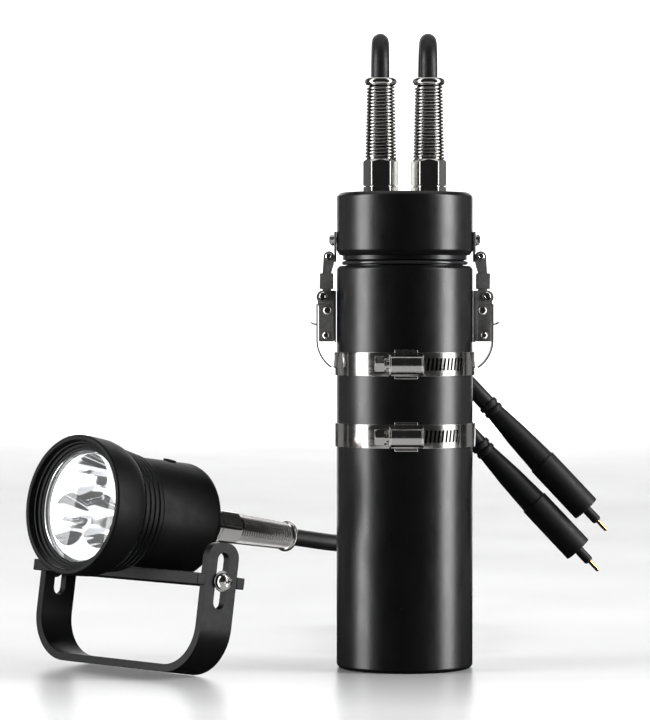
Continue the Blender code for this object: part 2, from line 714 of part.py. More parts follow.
def hand_strap(frame):
    half = STRAP_WIDTH / 2
    inner = half - STRAP_THICKNESS
    inner_r = STRAP_CORNER_R - STRAP_THICKNESS
    bend = half - STRAP_CORNER_R
    outline = ([(-half, STRAP_HEIGHT)] + arc((-bend, STRAP_CORNER_R), STRAP_CORNER_R, 180, 270, 9)
               + arc((bend, STRAP_CORNER_R), STRAP_CORNER_R, 270, 360, 9) + [(half, STRAP_HEIGHT)]
               + [(inner, STRAP_HEIGHT)] + arc((bend, STRAP_CORNER_R), inner_r, 0, -90, 9)
               + arc((-bend, STRAP_CORNER_R), inner_r, 270, 180, 9) + [(-inner, STRAP_HEIGHT)])
    strap = plate("hand_strap", [outline], STRAP_DEPTH, parent=frame, place=(0, over_axis(0), 0))
    edge = STRAP_DEPTH / 2
    inset = edge - STRAP_TIP_R
    tip = STRAP_HEIGHT - STRAP_TIP_R
    side_view = ([(-edge - 1, -5), (edge + 1, -5), (edge + 1, 30), (edge, 30)]
                 + arc((inset, tip), STRAP_TIP_R, 0, 90, 6) + arc((-inset, tip), STRAP_TIP_R, 90, 180, 6)
                 + [(-edge, 30), (-edge - 1, 30)])
    envelope = plate("strap_envelope", [side_view], STRAP_WIDTH + 20, group=CUTTERS, parent=frame,
                     place=(0, over_axis(0), 0), turn=(0, -90, 0))
    combine(strap, as_cutter(envelope), "INTERSECT")
    radius = SLOT_WIDTH / 2
    slot_line = (arc((0, SLOT_HIGH - radius), radius, 0, 180, 8)
                 + arc((0, SLOT_LOW + radius), radius, 180, 360, 8))
    for side, sign in (("left", -1), ("right", 1)):
        slot = plate("strap_slot_" + side, [slot_line], 12, group=CUTTERS, parent=frame,
                     place=(sign * half, over_axis(0), 0), turn=(0, -90, 0))
        cut(strap, as_cutter(slot))
    return finish(strap, material("strap_black", (0.02, 0.02, 0.021), 0.5, 0.5))


def mount_plate(frame):
    """Runs between the strap's arms; a lug before and behind each arm keeps it from turning."""
    half = STRAP_WIDTH / 2
    notch = half - STRAP_THICKNESS - GAP
    gate = STRAP_DEPTH / 2 + GAP
    depth = STRAP_DEPTH + 2 * PLATE_LUG
    middle = PLATE_LOW + PLATE_THICKNESS / 2
    made = block("mount_plate", (STRAP_WIDTH, PLATE_THICKNESS, depth), parent=frame,
                 place=(0, over_axis(middle), 0))
    for side, sign in (("left", -1), ("right", 1)):
        opening = block("plate_notch_" + side, (10, 20, 2 * gate), group=CUTTERS, parent=frame,
                        place=(sign * (notch + 5), over_axis(middle), 0))
        cut(made, as_cutter(opening))
    for side, sign in (("left", -1), ("right", 1)):
        hole = rod("plate_end_hole_" + side, STRAP_SCREW_R + GAP, -16, 2, group=CUTTERS, parent=frame,
                   place=(sign * notch, over_axis(middle), 0), turn=(0, sign * 90, 0), steps=12)
        cut(made, as_cutter(hole))
    for label, p in PLATE_SCREW_P.items():
        hole = rod("plate_screw_hole_" + label, SCREW_HOLE_R, -1, PLATE_THICKNESS + 1, group=CUTTERS,
                   parent=frame, place=(0, over_axis(PLATE_LOW), p), turn=(-90, 0, 0), steps=12)
        seat = rod("plate_screw_seat_" + label, 3.3, -1, 3.0, group=CUTTERS, parent=frame,
                   place=(0, over_axis(PLATE_LOW), p), turn=(-90, 0, 0), steps=14)
        cut(made, as_cutter(hole), as_cutter(seat))
    return finish(made, material("strap_black", (0.02, 0.02, 0.021), 0.5, 0.5))


def plate_screws(frame):
    profile = [(0, 9.0), (1.5, 9.0), (1.5, 2.7), (2.9, 2.7), (2.9, 0.4), (2.5, 0), (0, 0)]
    for label, p in PLATE_SCREW_P.items():
        screw = turned("plate_screw_" + label, profile, parent=frame,
                       place=(0, over_axis(PLATE_LOW), p), turn=(-90, 0, 0), steps=12)
        finish(screw, steel())


def strap_fasteners(frame):
    """At each arm, from the arm outwards: a washer and a pan head screw."""
    height = over_axis(PLATE_LOW + PLATE_THICKNESS / 2)
    outside = STRAP_WIDTH / 2 + GAP
    washer = 0.9
    hole_r = STRAP_SCREW_R + GAP
    washer_line = [(5.3, washer), (5.3, 0), (hole_r, 0), (hole_r, washer)]
    head = [(0, 3.9), (1.8, 3.7), (3.4, 2.9), (4.4, 1.6), (4.4, 0.0), (STRAP_SCREW_R, 0.0),
            (STRAP_SCREW_R, -17.0), (0, -17.0)]
    for side, sign in (("left", -1), ("right", 1)):
        turn = (0, sign * 90, 0)
        ring = turned(f"strap_washer_{side}", washer_line, parent=frame,
                      place=(sign * outside, height, 0), turn=turn, steps=20)
        finish(ring, rubber())
        screw = turned(f"strap_screw_{side}", head, parent=frame,
                       place=(sign * (outside + washer + GAP), height, 0), turn=turn, steps=18)
        finish(screw, steel())


# ---------------------------------------------------------------- leads

def lead_plug(name, rear, heading):
    """A moulded plug: ribbed boot, body, insulated rod; its brass pin is a piece of its own."""
    frame = empty(name + "_axis", rear, turn=axis_turn(heading))
    rod_end = PLUG_LENGTH + PLUG_ROD_LENGTH
    pin_seat = rod_end - 4.0
    pin_hole_r = PIN_R + 0.35
    profile = [(0, pin_seat), (pin_hole_r, pin_seat), (pin_hole_r, rod_end), (1.9, rod_end),
               (PLUG_ROD_R, rod_end - 0.9), (PLUG_ROD_R, PLUG_LENGTH), (PLUG_BODY_R - 0.4, PLUG_LENGTH),
               (PLUG_BODY_R, PLUG_LENGTH - 0.5), (PLUG_BODY_R - 0.1, PLUG_BODY_START + 0.4),
               (7.1, PLUG_BODY_START), (6.2, 24.0), (4.7, 7.6), (4.7, 6.4)] + boot_ribs()
    finish(turned(name, profile, parent=frame, steps=16), rubber())
    pin_line = [(0, 10.6), (0.5, 10.5), (PIN_R - 0.05, 9.9), (PIN_R, 9.2), (PIN_R, 0), (0, 0)]
    pin = turned(name.replace("plug", "pin"), pin_line, parent=frame, place=(0, 0, pin_seat + GAP), steps=10)
    finish(pin, material("brass", (0.75, 0.52, 0.22), 0.25, 1.0))


def boot_ribs():
    """The two ribs round the rear end of a plug or a socket, down to its flat end."""
    groove_r = PLUG_REAR_R - 0.6
    return [(PLUG_REAR_R, 6.0), (PLUG_REAR_R, 4.2), (groove_r, 3.8), (groove_r, 2.8), (PLUG_REAR_R, 2.4),
            (PLUG_REAR_R, 0.5), (PLUG_REAR_R - 0.5, 0), (0, 0)]


def axis_turn(heading):
    """The turn, in degrees, that points local Z along a heading."""
    way = Vector(heading).normalized()
    return [math.degrees(angle) for angle in way.to_track_quat("Z", "Y").to_euler()]


def lead_socket(name, rear, heading):
    frame = empty(name + "_axis", rear, turn=axis_turn(heading))
    front = SOCKET_LENGTH
    bore_r = PLUG_ROD_R + GAP
    bore_end = front - PLUG_ROD_LENGTH - 4.2
    profile = [(0, bore_end), (bore_r, bore_end), (bore_r, front), (PLUG_BODY_R - 0.4, front),
               (PLUG_BODY_R, front - 0.5), (PLUG_BODY_R, 22.0), (7.1, 21.4), (4.8, 6.4)] + boot_ribs()
    return finish(turned(name, profile, parent=frame, steps=16), rubber())


def lid_leads():
    """Each lead bends back over the lid, hangs behind the canister and swings out to its plug."""
    start_z = LID_TOP + GUARD_START + GUARD_LENGTH + GAP
    way = Vector(PLUG_HEADING).normalized()
    for side, sign in (("left", -1), ("right", 1)):
        x = sign * GLAND_X
        rise = arc((LEAD_BEND_R, start_z + 2.0), LEAD_BEND_R, 180, 90, 4)
        over = [(x, 0, start_z)] + [(x, y, z) for y, z in rise]
        over += [(x, 25.5, start_z + 16.6), (x, 33.0, start_z + 11.6), (x, 39.0, start_z + 2.4),
                 (x, 42.6, start_z - 10.0), (x, 44.0, start_z - 26.0)]
        down = list(LEAD_HANGS[side])
        rear = Vector(PLUG_REARS[side])
        last = [rear - way * 10.0, rear - way * GAP]
        tube(f"{side}_lead", over + down + last, LEAD_DIAMETER, rubber())
        lead_plug(f"{side}_lead_plug", rear, PLUG_HEADING)


def head_lead(head_frame):
    """From the head's gland, behind the canister and down into a folded hank with its socket."""
    bpy.context.view_layer.update()
    guard_end = TAIL_END - GUARD_START - GUARD_LENGTH - GAP
    start = head_frame.matrix_world @ Vector((0, 0, guard_end * MM)) / MM
    way = head_frame.matrix_world.to_3x3() @ Vector((0, 0, -1))
    fall = [(-29.0, 91.5, 56.4), (-15.5, 101.0, 52.4), (-2.4, 109.4, 46.6), (9.8, 118.2, 39.4),
            (20.0, 128.4, 31.6), (26.8, 139.0, 26.2), (29.6, 148.0, 23.6), (30.0, 152.0, 23.2)]
    route = [start, start + way * 13.0, start + way * 26.0] + fall
    tube("head_lead", route, LEAD_DIAMETER, rubber())
    hank()
    lead_socket("head_lead_socket", (TAIL_X, TAIL_Y, SOCKET_Z), (0, 1, 0))


def hank():
    """The outer shape of two stacked loops, with a well where the socket lies."""
    outer_r = HANK_FOLD_R + LEAD_DIAMETER / 2
    outside = arc((HANK_X, HANK_NEAR), outer_r, 180, 360, 10) + arc((HANK_X, HANK_FAR), outer_r, 0, 180, 10)
    well_half = 9.4
    well_near = TAIL_Y - GAP
    well_far = TAIL_Y + SOCKET_LENGTH + 4
    well = [(TAIL_X - well_half, well_near), (TAIL_X + well_half, well_near),
            (TAIL_X + well_half, well_far), (TAIL_X - well_half, well_far)]
    made = plate("head_lead_hank", [outside, well], HANK_HEIGHT, place=(0, 0, HANK_HEIGHT / 2 + 0.1))
    return finish(made, rubber())


# ---------------------------------------------------------------- the whole set

def build():
    clear_scene()
    latch_frames = {"left": empty("latch_left_frame", turn=(90, 0, 180)),
                    "right": empty("latch_right_frame", turn=(90, 0, 0))}
    lean = math.radians(HEAD_LEAN)
    turn = math.radians(HEAD_TURN)
    lift = STRAP_DEPTH / 2 * math.sin(lean) + 0.05
    up = Vector((math.sin(turn) * math.sin(lean), math.cos(turn) * math.sin(lean), math.cos(lean)))
    middle = Vector((*HEAD_FOOT, lift)) + up * HEAD_AXIS_HEIGHT
    head = empty("head_frame", middle, turn=(90 - HEAD_LEAN, 0, -HEAD_TURN))

    canister_tube()
    canister_lid(latch_frames)
    lid_seal()
    battery_pack()
    protection_board()
    for side, x in (("left", -GLAND_X), ("right", GLAND_X)):
        seat = empty(f"lid_gland_{side}_frame", (x, 0, LID_TOP))
        gland(f"lid_gland_{side}", seat)
        bend_guard(f"lid_bend_guard_{side}", seat)
    for label, height in BAND_HEIGHTS.items():
        clamp(label, height)
    for side, frame in latch_frames.items():
        latch(side, frame)

    head_body(head)
    bezel(head)
    front_glass(head)
    glass_seal(head)
    reflector(head)
    emitters(head)
    head_electronics(head)
    tail = empty("head_gland_frame", (0, 0, TAIL_END), turn=(180, 0, 0), parent=head)
    gland("head_gland", tail)
    bend_guard("head_bend_guard", tail)
    hand_strap(head)
    mount_plate(head)
    plate_screws(head)
    strap_fasteners(head)

    lid_leads()
    head_lead(head)


build()
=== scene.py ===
"""Looks for the diver's light set: real coils, slotted bands, cups, edges and finishes.

Lengths of pieces are millimetres in the frame that each is given, and MM makes metres of them.
The studio is in metres. Angles are degrees until math.radians.
"""
import math

import bmesh
import bpy
from mathutils import Euler, Matrix, Vector


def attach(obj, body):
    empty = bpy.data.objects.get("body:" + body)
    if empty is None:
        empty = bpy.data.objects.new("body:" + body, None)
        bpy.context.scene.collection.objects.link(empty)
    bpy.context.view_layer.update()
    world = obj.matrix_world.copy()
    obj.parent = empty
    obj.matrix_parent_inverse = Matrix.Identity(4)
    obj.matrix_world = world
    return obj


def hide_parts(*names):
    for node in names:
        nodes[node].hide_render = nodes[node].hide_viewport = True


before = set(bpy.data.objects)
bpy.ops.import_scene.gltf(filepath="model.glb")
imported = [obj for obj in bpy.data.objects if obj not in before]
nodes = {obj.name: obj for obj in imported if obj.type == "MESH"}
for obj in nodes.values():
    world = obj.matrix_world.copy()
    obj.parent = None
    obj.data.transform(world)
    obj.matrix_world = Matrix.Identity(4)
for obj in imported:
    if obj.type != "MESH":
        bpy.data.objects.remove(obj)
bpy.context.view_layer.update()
scene = bpy.context.scene

MM = 0.001
SHARP = 32

# Canister, standing on the origin.
CAN_R = 35.0
CAN_TOP = 206.6
LID_TOP = 244.2
GLAND_X = 12.35
BAND_HALF = 6.0

# Glands and spring guards, from the face that the gland is screwed into.
GUARD_START = 18.1
GUARD_LENGTH = 42.1

# Light head: its axis is local Z, with the window at the +Z end.
TAIL_END = -45.8
BARREL_R = 29.8
WINDOW_REAR = 38.85
WINDOW_FRONT = WINDOW_REAR + 3.0
CUP_REAR = 22.0
CUP_CIRCLE = 13.4
CUP_TURNS = {"top": 90.0, "left": 210.0, "right": 330.0}

# Hand strap: the head's axis is this high above its foot, which stands at HEAD_FOOT.
AXIS_HEIGHT = 78.2
HEAD_LEAN = 8.8
HEAD_TURN = 45.1
HEAD_FOOT = (-142.3, -19.2)
STRAP_DEPTH = 21.0
STRAP_HALF = 63.0
STRAP_BAR = 4.0
PLATE_FOOT = 45.0
PLATE_THICKNESS = 5.8
PLATE_Y = PLATE_FOOT + PLATE_THICKNESS / 2 - AXIS_HEIGHT

# Leads and their plugs.
LEAD = 9.0
PLUG_HEADING = (0.685, 0.0, -0.7285)
UPPER_REAR = (44.2, 40.0, 134.7)
LOWER_REAR = (40.0, 40.0, 113.4)

# Studio, in metres.
FLOOR_HALF = 1.62


# ------------ places

def place(location=(0, 0, 0), turn=(0, 0, 0)):
    turned = Euler([math.radians(angle) for angle in turn]).to_matrix().to_4x4()
    return Matrix.Translation(Vector(location) * MM) @ turned


def towards(location, heading):
    way = Vector(heading).normalized().to_track_quat("Z", "Y").to_euler()
    return Matrix.Translation(Vector(location) * MM) @ way.to_matrix().to_4x4()


def head_place():
    lean, turn = math.radians(HEAD_LEAN), math.radians(HEAD_TURN)
    lift = STRAP_DEPTH / 2 * math.sin(lean) + 0.05
    up = Vector((math.sin(turn) * math.sin(lean), math.cos(turn) * math.sin(lean), math.cos(lean)))
    return place(Vector((*HEAD_FOOT, lift)) + up * AXIS_HEIGHT, (90 - HEAD_LEAN, 0, -HEAD_TURN))


# Pieces that the lights treat apart: bright metal, the window's inside, and what must not shade.
METAL, WINDOW, AWAY = [], [], []
WORLD = Matrix.Identity(4)
HEAD = head_place()
TAIL = HEAD @ place((0, 0, TAIL_END), (180, 0, 0))
LATCH = {"left": place((0, 0, 0), (90, 0, 180)), "right": place((0, 0, 0), (90, 0, 0))}
GLANDS = {"lid_gland_left": place((-GLAND_X, 0, LID_TOP)),
          "lid_gland_right": place((GLAND_X, 0, LID_TOP)),
          "head_gland": TAIL}


# ------------ camera, floor and lights

def add(name, data):
    made = bpy.data.objects.new(name, data)
    scene.collection.objects.link(made)
    return made


def camera():
    data = bpy.data.cameras.new("camera")
    data.lens = 167.5
    data.sensor_width = 36.0
    data.clip_end = 30
    made = add("camera", data)
    made.location = (-0.041, -1.724, 0.188)
    made.rotation_euler = (math.radians(90 - 0.992), 0, 0)
    scene.camera = made


def area(name, location, target, size, power):
    data = bpy.data.lights.new(name, "AREA")
    data.shape = "RECTANGLE"
    data.size, data.size_y = size
    data.energy = power
    made = add(name, data)
    made.location = location
    way = Vector(target) - Vector(location)
    made.rotation_euler = way.to_track_quat("-Z", "Y").to_euler()
    return made


def flat_square(name, half):
    shape = bmesh.new()
    bmesh.ops.create_grid(shape, x_segments=1, y_segments=1, size=half)
    mesh = bpy.data.meshes.new(name)
    shape.to_mesh(mesh)
    shape.free()
    return add(name, mesh)


def white_world():
    """White to the camera, and almost dark as a light."""
    scene.view_settings.view_transform = "Standard"
    world = bpy.data.worlds.new("studio")
    world.use_nodes = True
    tree = world.node_tree
    back = tree.nodes["Background"]
    back.inputs["Color"].default_value = (1.0, 1.0, 1.0, 1)
    path = tree.nodes.new("ShaderNodeLightPath")
    level = tree.nodes.new("ShaderNodeMapRange")
    level.inputs["To Min"].default_value = 0.015
    level.inputs["To Max"].default_value = 1.0
    tree.links.new(path.outputs["Is Camera Ray"], level.inputs["Value"])
    tree.links.new(level.outputs["Result"], back.inputs["Strength"])
    scene.world = world


def ground():
    floor = flat_square("floor", FLOOR_HALF)
    floor.location = (0, 1.38, -0.0001)
    floor.data.materials.append(glowing_floor())
    floor.visible_glossy = floor.visible_shadow = False


def studio():
    """The lights: each has its place, the point that it faces, its size and its watts."""
    white_world()
    ground()
    backdrop()
    boxes = [area("softbox_left", (-1.25, -0.32, 0.42), (0, 0, 0.20), (0.54, 1.5), 24.5),
             area("softbox_right", (1.25, -0.30, 0.42), (0, 0, 0.20), (0.55, 1.5), 29)]
    area("overhead", (0.0, 0.5, 1.9), (0, 0.1, 0), (2.0, 1.2), 6)
    boxes += [area("side_card", (side * 1.9, 1.15, 0.6), (0, 0, 0.2), (1.8, 1.8), 1.9) for side in (-1, 1)]
    strips = [area("strip_left", (-1.25, -0.32, 0.3), (0, 0, 0.3), (0.54, 4.0), 15),
              area("strip_right", (1.25, -0.30, 0.3), (0, 0, 0.3), (0.55, 4.0), 15),
              area("left_card", (-1.9, 1.6, 0.6), (0, 0, 0.2), (1.0, 2.4), 1.4),
              area("right_card", (1.9, 1.6, 0.6), (0, 0, 0.2), (1.0, 2.4), 1.4),
              area("low_card", (-0.05, -0.30, 0.002), (-0.05, -0.30, 1.0), (0.8, 0.7), 0.7)]
    strips[-1].visible_camera = False
    glow = area("reflector_glow", HEAD @ Vector((-0.45, 0.25, 0.95)), HEAD.translation, (3.2, 2.6), 34)
    return {"softboxes": boxes, "strips": strips, "glow": [glow]}


def light_group(name, pieces, state):
    made = bpy.data.collections.new(name)
    scene.collection.children.link(made)
    for piece in pieces:
        made.objects.link(piece)
    for item in made.collection_objects:
        item.light_linking.link_state = state
    return made


def share_light(lights):
    """Bright metal takes tall dim strips in place of the softboxes, and the window has its own glow.

    The head and its strap stand in the way of the left softbox, so they cast no shade from it.
    """
    for name, pieces, state in (("strips", METAL, "INCLUDE"), ("softboxes", METAL, "EXCLUDE"),
                                ("glow", WINDOW, "INCLUDE")):
        group = light_group("for_" + name, pieces, state)
        for light in lights[name]:
            light.light_linking.receiver_collection = group
    aside = light_group("no_shade_on_canister", AWAY, "EXCLUDE")
    left_softbox = lights["softboxes"][0]
    for light in [*lights["strips"], left_softbox]:
        light.light_linking.blocker_collection = aside


def backdrop():
    """A glowing white sheet behind, which the rims and the floor pick up."""
    sheet = flat_square("backdrop", 0.5)
    sheet.scale = (2.5, 2.6, 1)
    sheet.location = (0, 3.0, 1.1)
    sheet.rotation_euler = (math.radians(90), 0, 0)
    made = Shader("backdrop_white", (0.9, 0.9, 0.9), roughness=1.0, Emission_Color=(1, 1, 1, 1),
                  Emission_Strength=1.4)
    made.colour(made.noise(0.8), (0.9, 0.9, 0.9), (0.95, 0.95, 0.95))
    sheet.data.materials.append(made.material)


# ------------ materials

class Shader:
    """A Principled material with short calls for its procedural parts."""

    def __init__(self, name, colour, metallic=0.0, roughness=0.5, **settings):
        self.material = bpy.data.materials.new(name)
        self.material.use_nodes = True
        self.tree = self.material.node_tree
        self.link = self.tree.links.new
        self.core = self.tree.nodes["Principled BSDF"]
        settings |= {"Base_Color": (*colour, 1), "Metallic": metallic, "Roughness": roughness}
        for key, value in settings.items():
            self.core.inputs[key.replace("_", " ")].default_value = value
        self.coordinates = self.node("ShaderNodeTexCoord").outputs["Object"]

    def node(self, kind, **values):
        made = self.tree.nodes.new(kind)
        for key, value in values.items():
            if key in made.inputs:
                made.inputs[key].default_value = value
            else:
                setattr(made, key, value)
        return made

    def noise(self, scale, detail=3.0, stretch=(1, 1, 1)):
        mapping = self.node("ShaderNodeMapping", Scale=stretch)
        self.link(self.coordinates, mapping.inputs["Vector"])
        made = self.node("ShaderNodeTexNoise", Scale=scale, Detail=detail, Roughness=0.55)
        self.link(mapping.outputs["Vector"], made.inputs["Vector"])
        return made.outputs["Fac"]

    def span(self, value, low, high, start=0.3, end=0.7):
        """The value from start to end, spread from low to high."""
        limits = {"From Min": start, "From Max": end, "To Min": low, "To Max": high}
        made = self.node("ShaderNodeMapRange", **limits)
        self.link(value, made.inputs["Value"])
        return made.outputs["Result"]

    def colour(self, value, first, second):
        """Drifts between two colours: a Mix node has them at 6 and 7, and its mixed colour at 2."""
        made = self.node("ShaderNodeMix", data_type="RGBA")
        made.inputs[6].default_value = (*first, 1)
        made.inputs[7].default_value = (*second, 1)
        self.link(value, made.inputs[0])
        self.link(made.outputs[2], self.core.inputs["Base Color"])

    def roughness(self, value, low, high):
        self.link(self.span(value, low, high), self.core.inputs["Roughness"])

    def bump(self, value, strength, distance):
        made = self.node("ShaderNodeBump", Strength=strength, Distance=distance)
        self.link(value, made.inputs["Height"])
        self.link(made.outputs["Normal"], self.core.inputs["Normal"])


def glowing_floor():
    """Glossy white, and brighter towards the front, where painted light makes the front strip glow."""
    made = Shader("floor_gloss_and_glow", (0.66, 0.66, 0.665), roughness=0.3, Emission_Color=(1, 1, 1, 1))
    made.roughness(made.noise(6.0), 0.28, 0.33)
    axes = made.node("ShaderNodeSeparateXYZ")
    made.link(made.coordinates, axes.inputs["Vector"])
    # Painted light: the emission rises towards the floor's front edge.
    level = made.span(axes.outputs["Y"], 0.34, 0.0, 0.05 - FLOOR_HALF, 0.19 - FLOOR_HALF)
    made.link(level, made.core.inputs["Emission Strength"])
    return made.material


def coat(name, tones, mottle, gloss, grain, relief=None, **settings):
    """Two tones that drift, a gloss that varies between two values, and perhaps a fine relief.

    mottle, grain and the relief's first item are what Shader.noise takes.
    """
    made = Shader(name, tones[0], **settings)
    made.colour(made.noise(*mottle), *tones)
    made.roughness(made.noise(*grain), *gloss)
    if relief:
        pattern, strength, distance = relief
        made.bump(made.noise(*pattern), strength, distance)
    return made.material


def anodised():
    """Bead blasted, black anodised aluminium: satin, with the faintest mottling."""
    return coat("anodised_black", ((0.0026, 0.0026, 0.003), (0.005, 0.005, 0.0056)), (22.0, 4.0),
                (0.27, 0.34), (160.0, 5.0, (1, 1, 0.4)), ((2600.0, 2.0), 0.10, 0.00008))


def head_coat():
    """The head's hard coat is duller than the canister's."""
    return coat("head_hard_coat", ((0.004, 0.004, 0.0045), (0.007, 0.007, 0.0075)), (26.0, 4.0),
                (0.42, 0.52), (170.0, 5.0), ((2400.0, 2.0), 0.12, 0.00008), Specular_IOR_Level=0.11)


def satin_strap():
    return coat("strap_anodised", ((0.003, 0.003, 0.0034), (0.0055, 0.0055, 0.006)), (30.0, 4.0),
                (0.36, 0.46), (220.0, 5.0), ((1900.0, 3.0), 0.16, 0.0001), Specular_IOR_Level=0.15)


def bright_steel():
    """Rolled and polished stainless strip with fine lines along its length."""
    lines = (900.0, 3.0, (0.05, 0.05, 1.0))
    return coat("bright_steel", ((0.74, 0.73, 0.71), (0.84, 0.83, 0.81)), (60.0, 3.0), (0.11, 0.22), lines,
                (lines, 0.12, 0.00004), metallic=1.0)


def nickel():
    """Machined and nickel plated brass, as the glands and the coils are."""
    return coat("nickel_plate", ((0.70, 0.69, 0.665), (0.82, 0.81, 0.79)), (90.0, 3.0), (0.10, 0.20),
                (420.0, 4.0), ((1400.0, 2.0), 0.05, 0.00005), metallic=1.0)


def dark_latch():
    """Blackened stainless pressings, mottled grey."""
    cloud = (420.0, 6.0)
    return coat("latch_blackened", ((0.10, 0.099, 0.097), (0.34, 0.335, 0.33)), cloud, (0.28, 0.44), cloud,
                ((1500.0, 3.0), 0.15, 0.00006), metallic=0.3)


def cable_rubber():
    return coat("cable_rubber", ((0.006, 0.006, 0.0065), (0.012, 0.012, 0.013)), (70.0, 4.0),
                (0.38, 0.54), (380.0, 5.0), ((1300.0, 4.0), 0.22, 0.0001), Specular_IOR_Level=0.4)


def moulded_rubber():
    return coat("moulded_rubber", ((0.006, 0.006, 0.007), (0.012, 0.012, 0.0135)), (45.0, 4.0),
                (0.44, 0.58), (520.0, 4.0), ((2100.0, 3.0), 0.14, 0.00008), Specular_IOR_Level=0.3)


def seal_rubber():
    return coat("seal_rubber", ((0.016, 0.016, 0.018), (0.03, 0.03, 0.032)), (60.0,), (0.12, 0.26),
                (150.0, 4.0))


def brass():
    return coat("brass_pin", ((0.80, 0.52, 0.18), (0.90, 0.64, 0.28)), (300.0,), (0.14, 0.28), (700.0,),
                metallic=1.0)


# Near black: the vent's plug screw is this black, and the same finish is painted shade on the slots' walls,
# under the bands and inside the coils.
def black_and_shade():
    return coat("black_and_painted_shade", ((0.003, 0.003, 0.003), (0.006, 0.006, 0.006)), (40.0,), (0.5, 0.7),
                (200.0,), Specular_IOR_Level=0.1)


def inner(name, first, second, metallic, low, high):
    return coat(name, (first, second), (140.0, 4.0), (low, high), (300.0, 4.0), metallic=metallic)


def chrome():
    """Vacuum metallised reflector."""
    made = Shader("reflector_chrome", (0.93, 0.93, 0.94), metallic=1.0)
    made.roughness(made.noise(80.0), 0.045, 0.09)
    made.bump(made.noise(120.0, 2.0), 0.05, 0.0002)
    return made.material


def port_glass():
    made = Shader("port_glass", (0.97, 0.985, 0.99), IOR=1.45, Transmission_Weight=1.0)
    made.roughness(made.noise(30.0), 0.0, 0.012)
    return made.material


def circuit():
    made = Shader("led_board", (0.75, 0.75, 0.73))
    made.colour(made.noise(500.0), (0.70, 0.70, 0.68), (0.82, 0.82, 0.80))
    return made.material


def phosphor():
    made = Shader("led_phosphor", (0.86, 0.74, 0.28), roughness=0.25)
    made.colour(made.noise(900.0), (0.82, 0.68, 0.22), (0.90, 0.80, 0.38))
    return made.material


ANODISED = anodised()
HEAD_COAT = head_coat()
STRAP = satin_strap()
STEEL = bright_steel()
NICKEL = nickel()
LATCH_DARK = dark_latch()
CABLE = cable_rubber()
MOULDED = moulded_rubber()
SEAL = seal_rubber()
BRASS = brass()
CHROME = chrome()
GLASS = port_glass()
BOARD = circuit()
PHOSPHOR = phosphor()
BLACK_AND_SHADE = black_and_shade()


# ------------ shape tools

def rounded(line, size, closed):
    """The same outline with each corner taken off by a short curve."""
    count = len(line)
    out = []
    for index, point in enumerate(line):
        here = Vector(point)
        if not closed and index in (0, count - 1):
            out.append(here)
            continue
        before, after = Vector(line[index - 1]), Vector(line[(index + 1) % count])
        back, ahead = before - here, after - here
        if here.x < 0.001 or back.length < 0.01 or ahead.length < 0.01 or back.angle(ahead) > 2.9:
            out.append(here)
            continue
        cut = min(size, 0.42 * back.length, 0.42 * ahead.length)
        start, end = here + back.normalized() * cut, here + ahead.normalized() * cut
        for share in (0.0, 0.33, 0.67, 1.0):
            out.append(start.lerp(here, share).lerp(here.lerp(end, share), share))
    return out


def adopt(name, shape, where, finish, angle=SHARP):
    bmesh.ops.recalc_face_normals(shape, faces=shape.faces)
    mesh = bpy.data.meshes.new(name)
    shape.to_mesh(mesh)
    shape.free()
    made = add(name, mesh)
    made.matrix_world = where
    mesh.materials.append(finish)
    mesh.shade_smooth()
    mesh.set_sharp_from_angle(angle=math.radians(angle))
    return made


def lathe(name, profile, where, finish, steps=96, fillet=0.25):
    """A profile of (radius, height) turned about Z; one that leaves the axis is a ring."""
    closed = profile[0][0] > 0.001
    line = rounded(profile, fillet, closed) if fillet else [Vector(point) for point in profile]
    shape = bmesh.new()
    rings = []
    for radius, height in line:
        if radius < 0.001:
            rings.append([shape.verts.new((0, 0, height * MM))])
            continue
        turns = [math.tau * index / steps for index in range(steps)]
        rings.append([shape.verts.new((radius * math.cos(t) * MM, radius * math.sin(t) * MM, height * MM))
                      for t in turns])
    pairs = list(zip(rings, rings[1:])) + ([(rings[-1], rings[0])] if closed else [])
    for upper, lower in pairs:
        for index in range(steps):
            after = (index + 1) % steps
            corners = [upper[index % len(upper)], upper[after % len(upper)],
                       lower[after % len(lower)], lower[index % len(lower)]]
            distinct = list(dict.fromkeys(corners))
            if len(distinct) > 2:
                shape.faces.new(distinct)
    return adopt(name, shape, where, finish)


def arc(centre, radius, start, end, pieces):
    angles = [math.radians(start + (end - start) * index / pieces) for index in range(pieces + 1)]
    return [(centre[0] + radius * math.cos(a), centre[1] + radius * math.sin(a)) for a in angles]


def bead(middle, height, radius, sides):
    """The round section of a sealing ring."""
    turns = [math.pi / 2 - math.tau * index / sides for index in range(sides)]
    return [(middle + radius * math.cos(t), height + radius * math.sin(t)) for t in turns]


def skin(shape, rings):
    """Faces between each two rings of corners, and one over each end."""
    for first, second in zip(rings, rings[1:]):
        for step in range(len(first)):
            after = (step + 1) % len(first)
            shape.faces.new((first[step], first[after], second[after], second[step]))
    shape.faces.new(rings[0])
    shape.faces.new(rings[-1])


def evaluated(made):
    bpy.context.view_layer.update()
    return bpy.data.meshes.new_from_object(made.evaluated_get(bpy.context.evaluated_depsgraph_get()))


def apply_steps(made):
    """Leaves only the piece's mesh, with its modifiers in it."""
    mesh = evaluated(made)
    made.modifiers.clear()
    made.data = mesh


